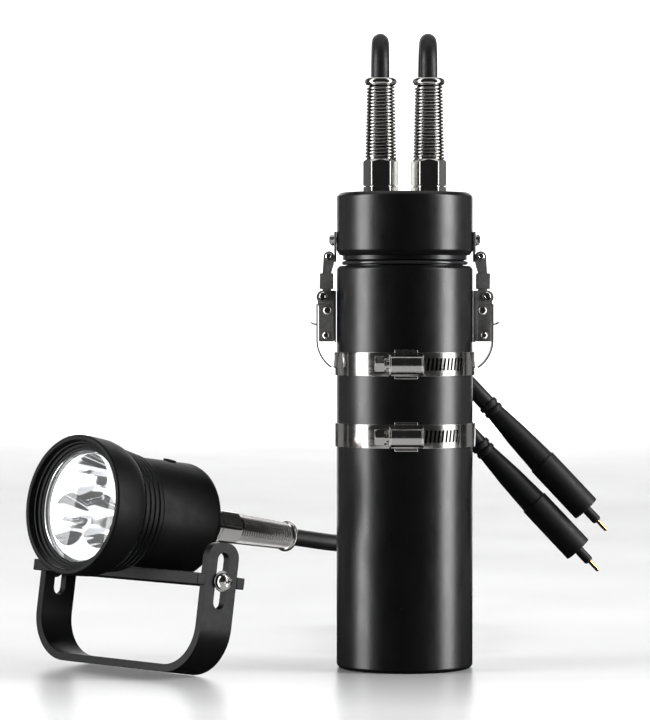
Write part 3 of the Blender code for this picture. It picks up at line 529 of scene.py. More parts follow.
def sheet_metal(name, outline, thickness, where, finish, bevel=0.2):
    """A flat outline thickened evenly, with every edge broken."""
    curve = bpy.data.curves.new(name, "CURVE")
    curve.dimensions = "2D"
    curve.fill_mode = "BOTH"
    curve.extrude = thickness / 2 * MM
    spline = curve.splines.new("POLY")
    spline.points.add(len(outline) - 1)
    for point, (x, y) in zip(spline.points, outline):
        point.co = (x * MM, y * MM, 0, 1)
    spline.use_cyclic_u = True
    guide = add(name + "_guide", curve)
    mesh = evaluated(guide)
    bpy.data.objects.remove(guide, do_unlink=True)
    shape = bmesh.new()
    shape.from_mesh(mesh)
    bmesh.ops.remove_doubles(shape, verts=shape.verts, dist=0.000002)
    made = adopt(name, shape, where, finish)
    return soften(made, bevel) if bevel else made


def soften(made, width, segments=2, limit=40):
    step = made.modifiers.new("edges", "BEVEL")
    step.width = width * MM
    step.segments = segments
    step.limit_method = "ANGLE"
    step.angle_limit = math.radians(limit)
    step.use_clamp_overlap = True
    settle(made)
    return even_normals(made)


def even_normals(made):
    """Flats shade flat, and the roundings between them take up the turn."""
    step = made.modifiers.new("normals", "WEIGHTED_NORMAL")
    step.keep_sharp = True
    step.weight = 100
    apply_steps(made)
    return made


def block(name, size, where, finish, bevel=0.2):
    shape = bmesh.new()
    bmesh.ops.create_cube(shape, size=1.0)
    bmesh.ops.scale(shape, verts=shape.verts, vec=Vector(size) * MM)
    made = adopt(name, shape, where, finish)
    return soften(made, bevel) if bevel else made


def hexagon(name, across, low, high, where, finish, corner_r):
    """Two flats face along local Y, and the six upright edges are rounded."""
    inset = across / math.sqrt(3) - corner_r / math.cos(math.radians(30))
    line = []
    for corner in range(0, 360, 60):
        t = math.radians(corner)
        line += arc((inset * math.cos(t), inset * math.sin(t)), corner_r, corner - 30, corner + 30, 8)
    shape = bmesh.new()
    rings = [[shape.verts.new((x * MM, y * MM, z * MM)) for x, y in line] for z in (low, high)]
    skin(shape, rings)
    return adopt(name, shape, where, finish)


def settle(made, angle=SHARP):
    apply_steps(made)
    made.data.shade_smooth()
    made.data.set_sharp_from_angle(angle=math.radians(angle))


def combine(made, tools, operation="DIFFERENCE", angle=SHARP):
    for tool in tools:
        step = made.modifiers.new("join", "BOOLEAN")
        step.operation = operation
        step.solver = "EXACT"
        step.object = tool
    settle(made, angle)
    for tool in tools:
        bpy.data.objects.remove(tool, do_unlink=True)
    return made


def turned_off(made, profile, where):
    """Keeps only what lies inside a turned outline."""
    limit = lathe("limit", profile, where, made.data.materials[0], fillet=0)
    combine(made, [limit], "INTERSECT")


def together(name, pieces):
    """Loose shells in one piece."""
    bpy.context.view_layer.update()
    first = pieces[0]
    slots = [slot.material for slot in first.material_slots]
    shape = bmesh.new()
    shape.from_mesh(first.data)
    inverse = first.matrix_world.inverted()
    for other in pieces[1:]:
        extra = other.data.copy()
        extra.transform(inverse @ other.matrix_world)
        start = len(shape.faces)
        shape.from_mesh(extra)
        shape.faces.ensure_lookup_table()
        finish = other.material_slots[0].material
        if finish not in slots:
            slots.append(finish)
            first.data.materials.append(finish)
        for face in shape.faces[start:]:
            face.material_index = slots.index(finish)
        bpy.data.objects.remove(other, do_unlink=True)
    shape.to_mesh(first.data)
    shape.free()
    first.data.set_sharp_from_angle(angle=math.radians(SHARP))
    first.name = name
    return first


def swept(name, path, radius, where, finish, sides):
    """A round wire along a path of points, with its ends closed."""
    shape = bmesh.new()
    rings = []
    count = len(path)
    normal = (path[1] - path[0]).orthogonal().normalized()
    for index, point in enumerate(path):
        tangent = (path[min(index + 1, count - 1)] - path[max(index - 1, 0)]).normalized()
        normal = (normal - tangent * normal.dot(tangent)).normalized()
        side = tangent.cross(normal)
        ring = []
        for step in range(sides):
            t = math.tau * step / sides
            ring.append(shape.verts.new((point + (normal * math.cos(t) + side * math.sin(t)) * radius) * MM))
        rings.append(ring)
    skin(shape, rings)
    return adopt(name, shape, where, finish, 50)


def stands_for(piece, body, slot, *hidden):
    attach(piece, body)
    if slot == "steel":
        METAL.append(piece)
    if hidden:
        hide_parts(*hidden)


# ------------ canister

def canister():
    profile = [(0, 4.0), (30.5, 4.0), (30.5, CAN_TOP), (CAN_R - 1.2, CAN_TOP), (CAN_R, CAN_TOP - 1.6),
               (CAN_R, 1.5), (CAN_R - 1.3, 0), (0, 0)]
    tube = lathe("canister_body", profile, WORLD, ANODISED, steps=160, fillet=0.5)
    stands_for(tube, "set", "anodised", "canister_tube")

    seat = CAN_TOP + 2.9
    profile = [(0, LID_TOP), (CAN_R - 1.9, LID_TOP), (CAN_R, LID_TOP - 1.9), (CAN_R, 214.6),
               (CAN_R - 1.4, 212.0), (32.0, 212.0), (32.0, seat), (30.4, seat), (30.2, CAN_TOP + 0.35),
               (30.2, 200.2), (26.5, 200.2), (26.5, 231.5), (0, 231.5)]
    lid = lathe("lid", profile, WORLD, ANODISED, steps=160, fillet=0.5)
    stands_for(lid, "set", "anodised", "canister_lid")

    seal = lathe("neck_seal", bead(31.75, CAN_TOP + 1.45, 1.0, 16), WORLD, SEAL, steps=128, fillet=0)
    stands_for(seal, "set", "rubber", "lid_seal")


# ------------ glands and coils

def gland(name, where):
    """Hexagon with round edges and turned-off corners over a thin foot, grooved between."""
    foot = hexagon(name + "_foot", 16.2, 0.3, 2.9, where, NICKEL, 2.4)
    turned_off(foot, [(0, 2.95), (8.9, 2.95), (9.4, 2.5), (9.4, 0.7), (9.0, 0.25), (0, 0.25)], where)
    even_normals(foot)
    nut = hexagon(name + "_nut", 16.4, 3.3, 17.4, where, NICKEL, 2.4)
    turned_off(nut, [(0, 17.5), (7.6, 17.5), (9.55, 15.4), (9.55, 4.4), (8.4, 3.2), (0, 3.2)], where)
    even_normals(nut)
    core = [(0, 18.2), (7.3, 18.2), (7.3, 16.8), (8.0, 16.8), (8.0, 2.5), (5.9, 0.4), (5.9, -11.0),
            (0, -11.0)]
    neck = lathe(name + "_neck", core, where, NICKEL, steps=48)
    stands_for(together(name + "_body", [nut, foot, neck]), "set", "steel", name)


def coil_guard(name, where):
    """A close wound spring, a little narrower at the top, under a round collar."""
    turns, per_turn, wire = 21.4, 40, 0.71
    foot_r, top_r = 8.15, 7.25
    height = GUARD_LENGTH - 4.1
    path = []
    for index in range(int(turns * per_turn) + 1):
        share = index / (turns * per_turn)
        angle = math.tau * index / per_turn
        radius = foot_r + (top_r - foot_r) * share - wire
        path.append(Vector((radius * math.cos(angle), radius * math.sin(angle),
                            wire * 0.9 + (height - wire * 1.2) * share)))
    shifted = where @ place((0, 0, GUARD_START - 1.1))
    spring = swept(name + "_spring", path, wire, shifted, NICKEL, 12)
    top = GUARD_LENGTH
    low = top - 4.3
    round_edge = arc((6.2, top - 2.15), 2.1, 78, -78, 12)
    edge = [(4.75, top + 0.1)] + round_edge + [(5.9, low - 0.1), (5.2, low - 0.4), (4.75, low)]
    collar = lathe(name + "_collar", edge, shifted, NICKEL, steps=72, fillet=0.15)
    # Painted shade: a near black cone just inside the coil, where the lead would run, darkens the gaps
    # between the turns.
    shade_cone = lathe(name + "_liner", [(4.8, top - 1.0), (6.0, top - 4.4), (6.85, 0.1), (4.8, 0.1)],
                  shifted, BLACK_AND_SHADE, steps=40, fillet=0)
    stands_for(together(name + "_coil", [spring, collar, shade_cone]), "set", "steel", name)


# ------------ hose clamps

def band_sector(name, inner_r, outer_r, half, start, end, where, finish, round_end=0.0):
    """A strip bent round the canister between two angles, its far end rounded if asked."""
    pieces = max(8, int(abs(end - start) / 2.0))
    shape = bmesh.new()
    rings = []
    for index in range(pieces + 1):
        share = index / pieces
        t = math.radians(start + (end - start) * share)
        away = abs(end - start) * (1 - share) * math.radians(1) * outer_r
        reach = half
        if round_end and away < round_end:
            reach = half - round_end + math.sqrt(max(round_end ** 2 - (round_end - away) ** 2, 0.01))
        corners = [(outer_r, reach), (outer_r, -reach), (inner_r, -reach), (inner_r, reach)]
        rings.append([shape.verts.new((r * math.cos(t) * MM, r * math.sin(t) * MM, z * MM))
                      for r, z in corners])
    skin(shape, rings)
    return adopt(name, shape, where, finish)


SLOTS, FIRST_SLOT, SLOT_PITCH, SLOT_SLANT = 24, -75.7, 3.72, -8


def slot_cutter(where, shift):
    """All the band's slanted slots in one tool, which leaves the slots' walls near black, as painted shade.
    """
    slots = []
    for index in range(SLOTS):
        angle = FIRST_SLOT + shift + index * SLOT_PITCH
        t = math.radians(angle)
        middle = place(((CAN_R + 1) * math.cos(t), (CAN_R + 1) * math.sin(t), 0), (0, 0, angle))
        spot = where @ middle @ place((0, 0, 0), (SLOT_SLANT, 0, 0))
        slots.append(block("slot", (3.0, 1.2, 6.3), spot, BLACK_AND_SHADE, 0))
    cutter = together("slots", slots)
    cutter.data.materials.clear()
    cutter.data.materials.append(STEEL)
    cutter.data.materials.append(BLACK_AND_SHADE)
    for face in cutter.data.polygons:
        face.material_index = 1
    return cutter


def clamp(label, height, over_start, slot_shift, tongue):
    where = place((0, 0, height))
    inner = CAN_R + 0.3
    half = BAND_HALF
    strip = [(inner + 0.65, half), (inner + 0.65, -half), (inner, -half), (inner, half)]
    band = lathe(f"clamp_{label}_strip", strip, where, STEEL, steps=180, fillet=0.12)
    # Painted shade: the slots' cut walls take this second, near black finish.
    band.data.materials.append(BLACK_AND_SHADE)
    combine(band, [slot_cutter(where, slot_shift)])
    # Painted shade: a near black strip between the canister and the band, seen through the slots.
    under = band_sector(f"clamp_{label}_under", CAN_R + 0.06, CAN_R + 0.24, 3.7, -78, 12, where, BLACK_AND_SHADE)
    over = band_sector(f"clamp_{label}_over", inner + 0.68, inner + 1.1, half, over_start, 215.5, where,
                       STEEL)
    pieces = [band, under, over]
    if tongue:
        spot = where @ place((0, 0, 1.7))
        pieces.append(band_sector(f"clamp_{label}_tongue", inner + 1.12, inner + 1.5, 4.1, 168, 212.5,
                                  spot, STEEL, round_end=3.9))
    for piece in pieces[2:]:
        soften(piece, 0.14)
    stands_for(together(f"clamp_{label}_strap", pieces), "set", "steel", f"clamp_{label}_band")
    clamp_housing(label, height)
    clamp_screw(label, height)


HOUSING_X = -0.1
HOUSING_SEAT = -36.3
WORM_OFFSET = 4.6


def clamp_housing(label, height):
    """Pressed saddle: side cheeks by the band, an arch over the worm with rolled ends."""
    outer_r, inner_r, wall, cheek = 5.1, 4.3, 0.75, 5.9
    outline = ([(0, cheek), (-wall, cheek), (-wall, outer_r)] + arc((-WORM_OFFSET, 0), outer_r, 90, 270, 28)
               + [(-wall, -outer_r), (-wall, -cheek), (0, -cheek), (0, -inner_r)]
               + arc((-WORM_OFFSET, 0), inner_r, 270, 90, 28) + [(0, inner_r)])
    where = place((HOUSING_X, HOUSING_SEAT, height), (90, 0, 90))
    parts = [sheet_metal(f"clamp_{label}_arch", outline, 16.4, where, STEEL, 0.16)]
    for sign in (1, -1):
        spot = place((HOUSING_X, HOUSING_SEAT - wall, height + sign * 6.6))
        parts.append(block(f"ear_{sign}", (11.8, 1.4, 1.7), spot, STEEL, 0.35))
    for sign, flare in ((1, 0.35), (-1, 0.9)):
        x = HOUSING_X + sign * 8.2
        ring = [(outer_r + flare, 0.5), (outer_r + flare, -0.5), (inner_r, -0.5), (inner_r, 0.5)]
        spot = place((x, HOUSING_SEAT - WORM_OFFSET, height), (0, 90, 0))
        lip = lathe(f"lip_{sign}", ring, spot, STEEL, steps=56, fillet=0.3)
        keep = block("keep", (4, 12, 20), place((x, HOUSING_SEAT - 6.2, height)), STEEL, 0)
        parts.append(combine(lip, [keep], "INTERSECT"))
    stands_for(together(f"clamp_{label}_saddle", parts), "set", "steel", f"clamp_{label}_housing")


def clamp_screw(label, height):
    """Worm, collar and a slotted hexagon head; Z runs along the screw, away from its head."""
    where = place((HOUSING_X, HOUSING_SEAT - WORM_OFFSET, height), (0, 90, 0))
    half = 8.8
    line = [(0, half - 0.5), (3.0, half - 0.5), (3.9, half - 1.3), (3.9, 0.6 - half), (2.4, -half),
            (2.4, -half - 1.4), (0, -half - 1.4)]
    worm = lathe(f"clamp_{label}_worm", line, where, STEEL, steps=48)
    line = [(0, -half - 1.2), (3.9, -half - 1.2), (3.9, -half - 2.3), (0, -half - 2.3)]
    collar = lathe("collar", line, where, STEEL, steps=48)
    spun = where @ place((0, 0, 0), (0, 0, {"lower": 30, "upper": 18}[label]))
    head = hexagon("head", 8.2, -half - 7.2, -half - 2.3, spun, STEEL, 0.5)
    turned_off(head, [(0, -half - 2.2), (4.75, -half - 2.2), (4.75, -half - 6.6), (4.0, -half - 7.25),
                      (0, -half - 7.25)], where)
    slot = block("slot", (9.6, 1.1, 1.8), where @ place((0, 0, -half - 7.2), (0, 0, 35)), STEEL, 0)
    combine(head, [slot])
    soften(head, 0.15)
    stands_for(together(f"clamp_{label}_drive", [worm, collar, head]), f"worm_screw_{label}", "steel",
               f"clamp_{label}_screw")


# ------------ draw latches

LEVER_PIVOT, LINK_PIVOT, LINK_EYE = (41.9, 190.9), (39.8, 183.7), (38.95, 211.3)


def dome(name, radius, height, where):
    """A rivet's head with its set-in middle."""
    line = [(0, height * 0.55), (radius * 0.34, height * 0.6), (radius * 0.48, height),
            (radius * 0.74, height * 0.9), (radius, height * 0.35), (radius, 0), (0, 0)]
    return lathe(name, line, where, STEEL, steps=40, fillet=0.12)


def latch_set(side):
    """One draw latch, closed. Its X is outwards from the canister, and its Y is up."""
    where = LATCH[side]
    prefix = f"latch_{side}"

    def slab(name, outline, thick, z, bevel=0.2):
        return sheet_metal(f"{prefix}_{name}", outline, thick, where @ place((0, 0, z)), LATCH_DARK, bevel)

    def bar(name, size, spot, bevel=0.2):
        return block(f"{prefix}_{name}", size, where @ place(spot), LATCH_DARK, bevel)

    def outwards(centre, end, z):
        return where @ place((*centre, end * z), (0 if end > 0 else 180, 0, 0))

    foot = [(35.1, 216.0), (35.1, 208.6), (41.2, 208.6), (41.2, 209.4), (36.2, 209.4), (36.2, 216.0)]
    keeper = together(f"{prefix}_catch", [bar("pad", (1.25, 10.8, 12.0), (35.7, 218.7, 0)),
                                          slab("tongue", foot, 4.6, 0, 0.15)])
    stands_for(keeper, "set", "latch_steel", f"{prefix}_keeper")

    ear = ([(35.3, 168.2), (37.2, 168.2), (37.3, 186.6), (38.0, 187.2)]
           + arc((LEVER_PIVOT[0] + 0.15, 190.55), 3.4, -90, 90, 14) + [(35.3, 193.9)])
    parts = [bar("back", (0.9, 26.6, 14.8), (35.75, 180.6, 0))]
    for end in (1, -1):
        parts.append(slab(f"ear_{end}", ear, 1.0, end * 6.9, 0.22))
        parts.append(dome(f"{prefix}_stud", 2.35, 1.2, outwards(LEVER_PIVOT, end, 7.4)))
    stands_for(together(f"{prefix}_seat", parts), "set", "latch_steel", f"{prefix}_base")

    # The lever's plate has a window, from its web up, that the link folds out through.
    cheek = ([(36.5, 167.7), (36.5, 185.4)] + arc((41.0, 189.9), 4.5, 180, 90, 8)
             + arc(LEVER_PIVOT, 2.9, 80, 0, 8) + [(44.8, 187.0), (44.2, 185.4), (44.2, 167.7)])
    parts = [slab(f"cheek_{end}", cheek, 1.0, end * 5.5, 0.24) for end in (1, -1)]
    parts.append(bar("web", (1.0, 9.1, 11.0), (43.6, 172.4, 0)))
    bend, sill = (28.1, 168.5), 177.6
    blade = [(45.5, sill)] + arc(bend, 17.4, 0, -56, 20) + arc(bend, 16.6, -56, 0, 20) + [(44.7, sill)]
    parts.append(slab("blade", blade, 12.2, 0, 0.05))
    hook = [(45.2, 176.1), (47.4, 176.4), (48.5, 177.4), (48.1, 177.9), (47.0, 177.1), (45.2, 176.9)]
    for end in (1, -1):
        parts.append(bar("rail", (0.8, 9.8, 1.6), (45.1, 182.1, end * 5.3), 0.05))
        parts.append(slab(f"tab_{end}", hook, 1.6, end * 5.2, 0.12))
    stands_for(together(f"{prefix}_handle", parts), f"latch_lever_{side}", "latch_steel", f"{prefix}_lever")

    arm = (arc(LINK_PIVOT, 2.4, 180, 360, 12) + [(42.3, 203.0)] + arc(LINK_EYE, 2.8, 8, 180, 16)
           + [(36.4, 207.5), (37.7, 203.0), (37.9, 190.0)])
    parts = [slab(f"arm_{end}", arm, 1.2, end * 3.2, 0.2) for end in (1, -1)]
    parts.append(bar("sleeve", (7.2, 8.2, 8.4), (40.25, 198.7, 0), 0.5))
    parts.append(lathe(f"{prefix}_cross", [(0, 3.6), (1.3, 3.6), (1.3, -3.6), (0, -3.6)],
                       where @ place((*LINK_EYE, 0)), STEEL, steps=32))
    parts.append(lathe(f"{prefix}_stem", [(0, 8.2), (1.7, 8.2), (1.7, -14.5), (0, -14.5)],
                       where @ place((39.8, 198.5, 0), (-90, 0, 0)), STEEL, steps=32))
    for end in (1, -1):
        parts.append(dome(f"{prefix}_eye", 1.9, 0.8, outwards(LINK_EYE, end, 3.75)))
    stands_for(together(f"{prefix}_pull", parts), f"latch_link_{side}", "latch_steel", f"{prefix}_link")


# ------------ light head

def head_barrel():
    """Body with four cooling fins, milled flat for the mount plate, and a vent plug on top."""
    fin, groove_r = 2.3, 28.4
    profile = [(27.7, 37.6), (29.4, 37.6), (29.4, 27.3)]
    for rear, fin_r in ((24.9, 32.1), (21.1, 31.4), (17.4, 30.8), (13.6, 30.2)):
        profile += [(fin_r, rear + fin), (fin_r, rear), (groove_r, rear - 0.1), (groove_r, rear - 1.3)]
    profile += [(BARREL_R - 0.9, 12.2), (BARREL_R, -24.5), (BARREL_R - 0.7, -26.8), (BARREL_R - 2.9, -28.6),
                (BARREL_R - 5.2, -29.5), (10.8, TAIL_END + 1.0), (9.8, TAIL_END), (6.2, TAIL_END),
                (6.2, -24.0), (22.0, -24.0), (22.0, 15.9), (27.7, 15.9)]
    body = lathe("head_barrel", profile, HEAD, HEAD_COAT, steps=144, fillet=0.3)
    flat = PLATE_FOOT + PLATE_THICKNESS + 0.3 - AXIS_HEIGHT
    mill = block("mill", (70, 10, 50), HEAD @ place((0, flat - 5, 16.7 - 25)), HEAD_COAT, 0)
    turn, back = 10.0, -9.0
    lean = math.radians(turn)
    spot = HEAD @ place((BARREL_R * math.sin(lean), BARREL_R * math.cos(lean), back), (-90, 0, -turn))
    bore = [(0, 3.0), (2.4, 3.0), (2.0, 0.2), (2.0, -1.4), (0, -1.4)]
    combine(body, [mill, lathe("vent", bore, spot, HEAD_COAT, steps=32, fillet=0)])
    line = [(3.2, 0.5), (3.4, 0.2), (3.4, -1.6), (2.0, -1.6), (2.0, 0.2), (2.35, 0.55)]
    ring = lathe("vent_ring", line, spot, HEAD_COAT, steps=40, fillet=0.08)
    line = [(0, -0.2), (0.9, -0.2), (0.9, -0.9), (1.6, -0.7), (1.6, -1.4), (0, -1.4)]
    plug_screw = lathe("vent_screw", line, spot, BLACK_AND_SHADE, steps=32, fillet=0.08)
    shell = together("head_shell", [body, ring, plug_screw])
    shell.visible_glossy = False
    AWAY.append(shell)
    stands_for(shell, "set", "anodised", "head_body")


def bezel():
    lip = WINDOW_FRONT + 0.3
    profile = [(34.9, 49.2), (35.5, 48.5), (35.3, 42.0), (34.9, 35.0), (33.9, 31.0), (32.8, 28.7),
               (29.8, 28.7), (29.8, lip), (28.3, lip), (28.3, lip + 0.8), (29.9, lip + 0.8),
               (29.9, lip + 1.6), (31.5, lip + 1.9), (31.5, 45.8), (32.4, 45.8), (32.5, 48.7), (33.0, 49.2)]
    ring = lathe("head_bezel", profile, HEAD, HEAD_COAT, steps=160, fillet=0.4)
    ring.visible_glossy = False
    AWAY.append(ring)
    stands_for(ring, "set", "anodised", "bezel")


def port():
    front, rear = WINDOW_FRONT, WINDOW_REAR
    profile = [(0, front), (29.1, front), (29.4, front - 0.3), (29.4, rear), (0, rear)]
    glass = lathe("port_window", profile, HEAD, GLASS, steps=128, fillet=0.1)
    WINDOW.append(glass)
    stands_for(glass, "set", "glass", "front_glass")
    seal = lathe("port_seal", bead(28.55, rear - 0.62, 0.3, 8), HEAD, SEAL, steps=96, fillet=0)
    stands_for(seal, "set", "rubber", "glass_seal")


def reflector():
    """Three deep cups that break into each other along curved ridges."""
    front, rear = 37.9, CUP_REAR
    profile = [(0, front), (26.9, front), (27.4, front - 0.3), (27.4, front - 1.2), (26.0, front - 2.0),
               (26.0, rear), (0, rear)]
    made = lathe("reflector_cups", profile, HEAD, CHROME, steps=128, fillet=0)
    throat, reach, rings = 3.2, 13.4, 24
    tools = []
    for angle in CUP_TURNS.values():
        bowl = [(0, front + 0.6), (reach + 0.18, front + 0.6)]
        for index in range(rings + 1):
            radius = reach + (throat - reach) * index / rings
            share = (radius ** 2 - throat ** 2) / (reach ** 2 - throat ** 2)
            bowl.append((radius, rear + (front - rear) * share))
        bowl += [(throat, rear - 1.0), (0, rear - 1.0)]
        t = math.radians(angle)
        spot = HEAD @ place((CUP_CIRCLE * math.cos(t), CUP_CIRCLE * math.sin(t), 0))
        tools.append(lathe("bowl", bowl, spot, CHROME, steps=96, fillet=0))
    combine(made, tools, angle=24)
    WINDOW.append(made)
    stands_for(made, "set", "reflector", "reflector")


def emitters():
    for label, angle in CUP_TURNS.items():
        t = math.radians(angle)
        spot = HEAD @ place((CUP_CIRCLE * math.cos(t), CUP_CIRCLE * math.sin(t), CUP_REAR - 0.3),
                            (0, 0, 20 + angle))
        base = block("base", (3.4, 3.4, 0.8), spot @ place((0, 0, 0.4)), BOARD, 0.1)
        die = block("die", (1.6, 1.6, 0.25), spot @ place((0, 0, 0.9)), PHOSPHOR, 0.04)
        line = [(0, 2.6), (0.75, 2.45), (1.3, 2.0), (1.6, 1.4), (1.65, 0.8), (0, 0.8)]
        lens = lathe("lens", line, spot, GLASS, steps=40, fillet=0.1)
        stands_for(together(f"led_{label}_emitter", [base, die, lens]), "set", "led", f"led_{label}")


# ------------ hand strap

def hand_strap():
    """A bar bent to a U, its tips rounded and slotted, which stands on its bend."""
    half, corner, high = STRAP_HALF, 25.0, 67.0
    inner, inner_r, bend = half - STRAP_BAR, corner - STRAP_BAR, half - corner
    outline = ([(-half, high)] + arc((-bend, corner), corner, 180, 270, 28)
               + arc((bend, corner), corner, 270, 360, 28) + [(half, high), (inner, high)]
               + arc((bend, corner), inner_r, 0, -90, 28) + arc((-bend, corner), inner_r, 270, 180, 28)
               + [(-inner, high)])
    low = -AXIS_HEIGHT
    strap = sheet_metal("strap_bar", outline, STRAP_DEPTH, HEAD @ place((0, low, 0)), STRAP, 0)
    edge = STRAP_DEPTH / 2
    tip_r = 8.0
    view = ([(-edge - 1, -5), (edge + 1, -5), (edge + 1, 30), (edge, 30.5)]
            + arc((edge - tip_r, high - tip_r), tip_r, 0, 90, 16)
            + arc((tip_r - edge, high - tip_r), tip_r, 90, 180, 16)
            + [(-edge, 30.5), (-edge - 1, 30)])
    turned = HEAD @ place((0, low, 0), (0, -90, 0))
    combine(strap, [sheet_metal("limit", view, 150, turned, STRAP, 0)], "INTERSECT")
    slot_low, slot_high, slot_r = 33.8, 62.2, 3.8
    slot = (arc((0, slot_high - slot_r), slot_r, 0, 180, 18)
            + arc((0, slot_low + slot_r), slot_r, 180, 360, 18))
    combine(strap, [sheet_metal("slot", slot, 12, HEAD @ place((sign * half, low, 0), (0, -90, 0)), STRAP, 0)
                    for sign in (1, -1)])
    soften(strap, 0.45, 3, 50)
    AWAY.append(strap)
    stands_for(strap, "hand_strap", "strap", "hand_strap")


def mount_plate():
    """A bar across the strap, notched at both ends so that the strap's sides run in it."""
    made = block("plate", (2 * STRAP_HALF, PLATE_THICKNESS, 32.2), HEAD @ place((0, PLATE_Y, 0)), STRAP, 0)
    notch = 10
    middle = STRAP_HALF - STRAP_BAR - 0.3 + notch / 2
    combine(made, [block("notch", (notch, 20, 21.6), HEAD @ place((sign * middle, PLATE_Y, 0)), STRAP, 0)
                   for sign in (1, -1)])
    soften(made, 0.4, 3)
    AWAY.append(made)
    stands_for(made, "set", "strap", "mount_plate")


def strap_fasteners():
    outside, gap = STRAP_HALF + 0.3, 1.2
    crown = [(0, 3.9), (1.3, 3.82), (2.5, 3.45), (3.5, 2.7), (4.15, 1.7), (4.4, 0.7), (4.35, 0.0),
             (2.0, 0.0), (2.0, -17.0), (0, -17.0)]
    flat_ring = [(5.3, 0.9), (5.3, 0), (2.3, 0), (2.3, 0.9)]
    for side, sign in (("left", -1), ("right", 1)):
        turn = (0, sign * 90, 0)
        spot = HEAD @ place((sign * outside, PLATE_Y, 0), turn)
        washer = lathe(f"strap_{side}_washer", flat_ring, spot, SEAL, steps=64)
        stands_for(washer, "set", "rubber", f"strap_washer_{side}")
        spot = HEAD @ place((sign * (outside + gap), PLATE_Y, 0), turn)
        screw = lathe(f"strap_{side}_screw", crown, spot, STEEL, steps=64, fillet=0.15)
        for angle in (20, 110):
            combine(screw, [block("recess", (1.0, 4.4, 3.2), spot @ place((0, 0, 3.9), (0, 0, angle)),
                                  STEEL, 0)])
        soften(screw, 0.12)
        stands_for(screw, "set", "steel", f"strap_screw_{side}")


# ------------ leads

def smooth_route(points, spacing):
    route = [Vector(point) for point in points]
    route = [2 * route[0] - route[1]] + route + [2 * route[-1] - route[-2]]
    smooth = []
    for before, start, end, after in zip(route, route[1:], route[2:], route[3:]):
        pieces = max(1, round((end - start).length / spacing))
        for index in range(pieces):
            t = index / pieces
            along = end - before
            pull = 2 * before - 5 * start + 4 * end - after
            push = 3 * start - before - 3 * end + after
            smooth.append(start + 0.5 * t * (along + t * (pull + t * push)))
    smooth.append(route[-2])
    return smooth


def cable(name, points, smoothness=6):
    """One open spline with a round section."""
    curve = bpy.data.curves.new(name, "CURVE")
    curve.dimensions = "3D"
    curve.bevel_depth = LEAD / 2 * MM
    curve.bevel_resolution = 6
    curve.use_fill_caps = True
    curve.resolution_u = smoothness
    spline = curve.splines.new("BEZIER")
    spline.bezier_points.add(len(points) - 1)
    for point, spot in zip(spline.bezier_points, points):
        point.co = spot * MM
        point.handle_left_type = point.handle_right_type = "AUTO"
    curve.materials.append(CABLE)
    return add(name, curve)


def plug(name, node, rear):
    """A moulded plug with its bare pin; Z runs from the cable to the pin."""
    where = towards(rear, PLUG_HEADING)
    body_start, long, rod = 42.2, 76.5, 8.8
    tip = long + rod
    profile = [(0, tip - 4.0), (1.35, tip - 4.0), (1.35, tip), (1.9, tip), (2.5, tip - 0.9), (2.5, long),
               (7.3, long), (7.6, long - 0.3), (7.55, body_start + 0.4), (7.0, body_start), (6.2, 24.0),
               (4.9, 8.4), (4.7, 6.5), (5.3, 6.1), (5.3, 4.2), (4.6, 3.8), (4.6, 2.8), (5.3, 2.4), (5.3, 0.5),
               (4.9, 0), (0, 0)]
    body = lathe(name + "_moulding", profile, where, MOULDED, steps=72, fillet=0.35)
    stands_for(body, "set", "rubber", node)
    line = [(0, 10.6), (0.5, 10.5), (0.92, 10.0), (1.0, 9.3), (1.0, 0), (0, 0)]
    pin = lathe(name + "_contact", line, where @ place((0, 0, tip - 3.7)), BRASS, steps=40, fillet=0.15)
    stands_for(pin, "set", "brass", node.replace("plug", "pin"))
    return [body, pin]


LEFT_DOWN = [(-12.2, 44.2, 250.0), (-11.4, 44.2, 220.0), (-8.6, 44.2, 192.0), (-2.4, 44.0, 167.0),
             (8.0, 43.6, 146.0), (19.6, 42.4, 131.6)]
RIGHT_DOWN = [(12.6, 44.2, 250.0), (13.2, 44.2, 220.0), (14.6, 44.2, 194.0), (18.6, 43.8, 172.0),
              (25.4, 42.6, 156.0)]


def lid_leads():
    """Each lead rises from its guard, turns over and comes down behind the canister to its plug."""
    start = LID_TOP + GUARD_START + GUARD_LENGTH + 0.3
    way = Vector(PLUG_HEADING).normalized()
    for side, x, down, rear in (("left", -GLAND_X, LEFT_DOWN, Vector(LOWER_REAR)),
                                ("right", GLAND_X, RIGHT_DOWN, Vector(UPPER_REAR))):
        rise = arc((16.0, start + 2.0), 16.0, 180, 90, 4)
        over = [(0, start - 2.2), (0, start)] + rise
        over += [(25.5, start + 16.6), (33.0, start + 11.6), (39.0, start + 2.4), (42.6, start - 10.0),
                 (44.0, start - 26.0)]
        over = [(x, y, z) for y, z in over]
        points = smooth_route(over + down + [rear - way * 10.0, rear + way * 1.5], 10.0)
        lead = cable(f"{side}_cable", points)
        ends = plug(f"{side}_plug", f"{side}_lead_plug", rear)
        stands_for(lead, "set", "rubber", f"{side}_lead")


HANK_X, HANK_NEAR, HANK_FAR, HANK_R = 3.0, 79.0, 187.0, 27.0
HANK_TOP, HANK_TURN = 23.2, 386.0
LAYER, LAYER_FALL = 9.3, 120.0


def hank_turn(start_y):
    """Flat points of the hank's line: right side out, far fold, left side back, near fold."""
    side = [(HANK_X + HANK_R, y) for y in (start_y + 12, start_y + 24)]
    far = arc((HANK_X, HANK_FAR), HANK_R, 0, 180, 7)
    back = [(HANK_X - HANK_R, y) for y in (165, 143, 121, 99)]
    near = arc((HANK_X, HANK_NEAR), HANK_R, 180, 360, 7)
    ahead = [(HANK_X + HANK_R, y) for y in (100, 121, 139)]
    return side + far + back + near + ahead


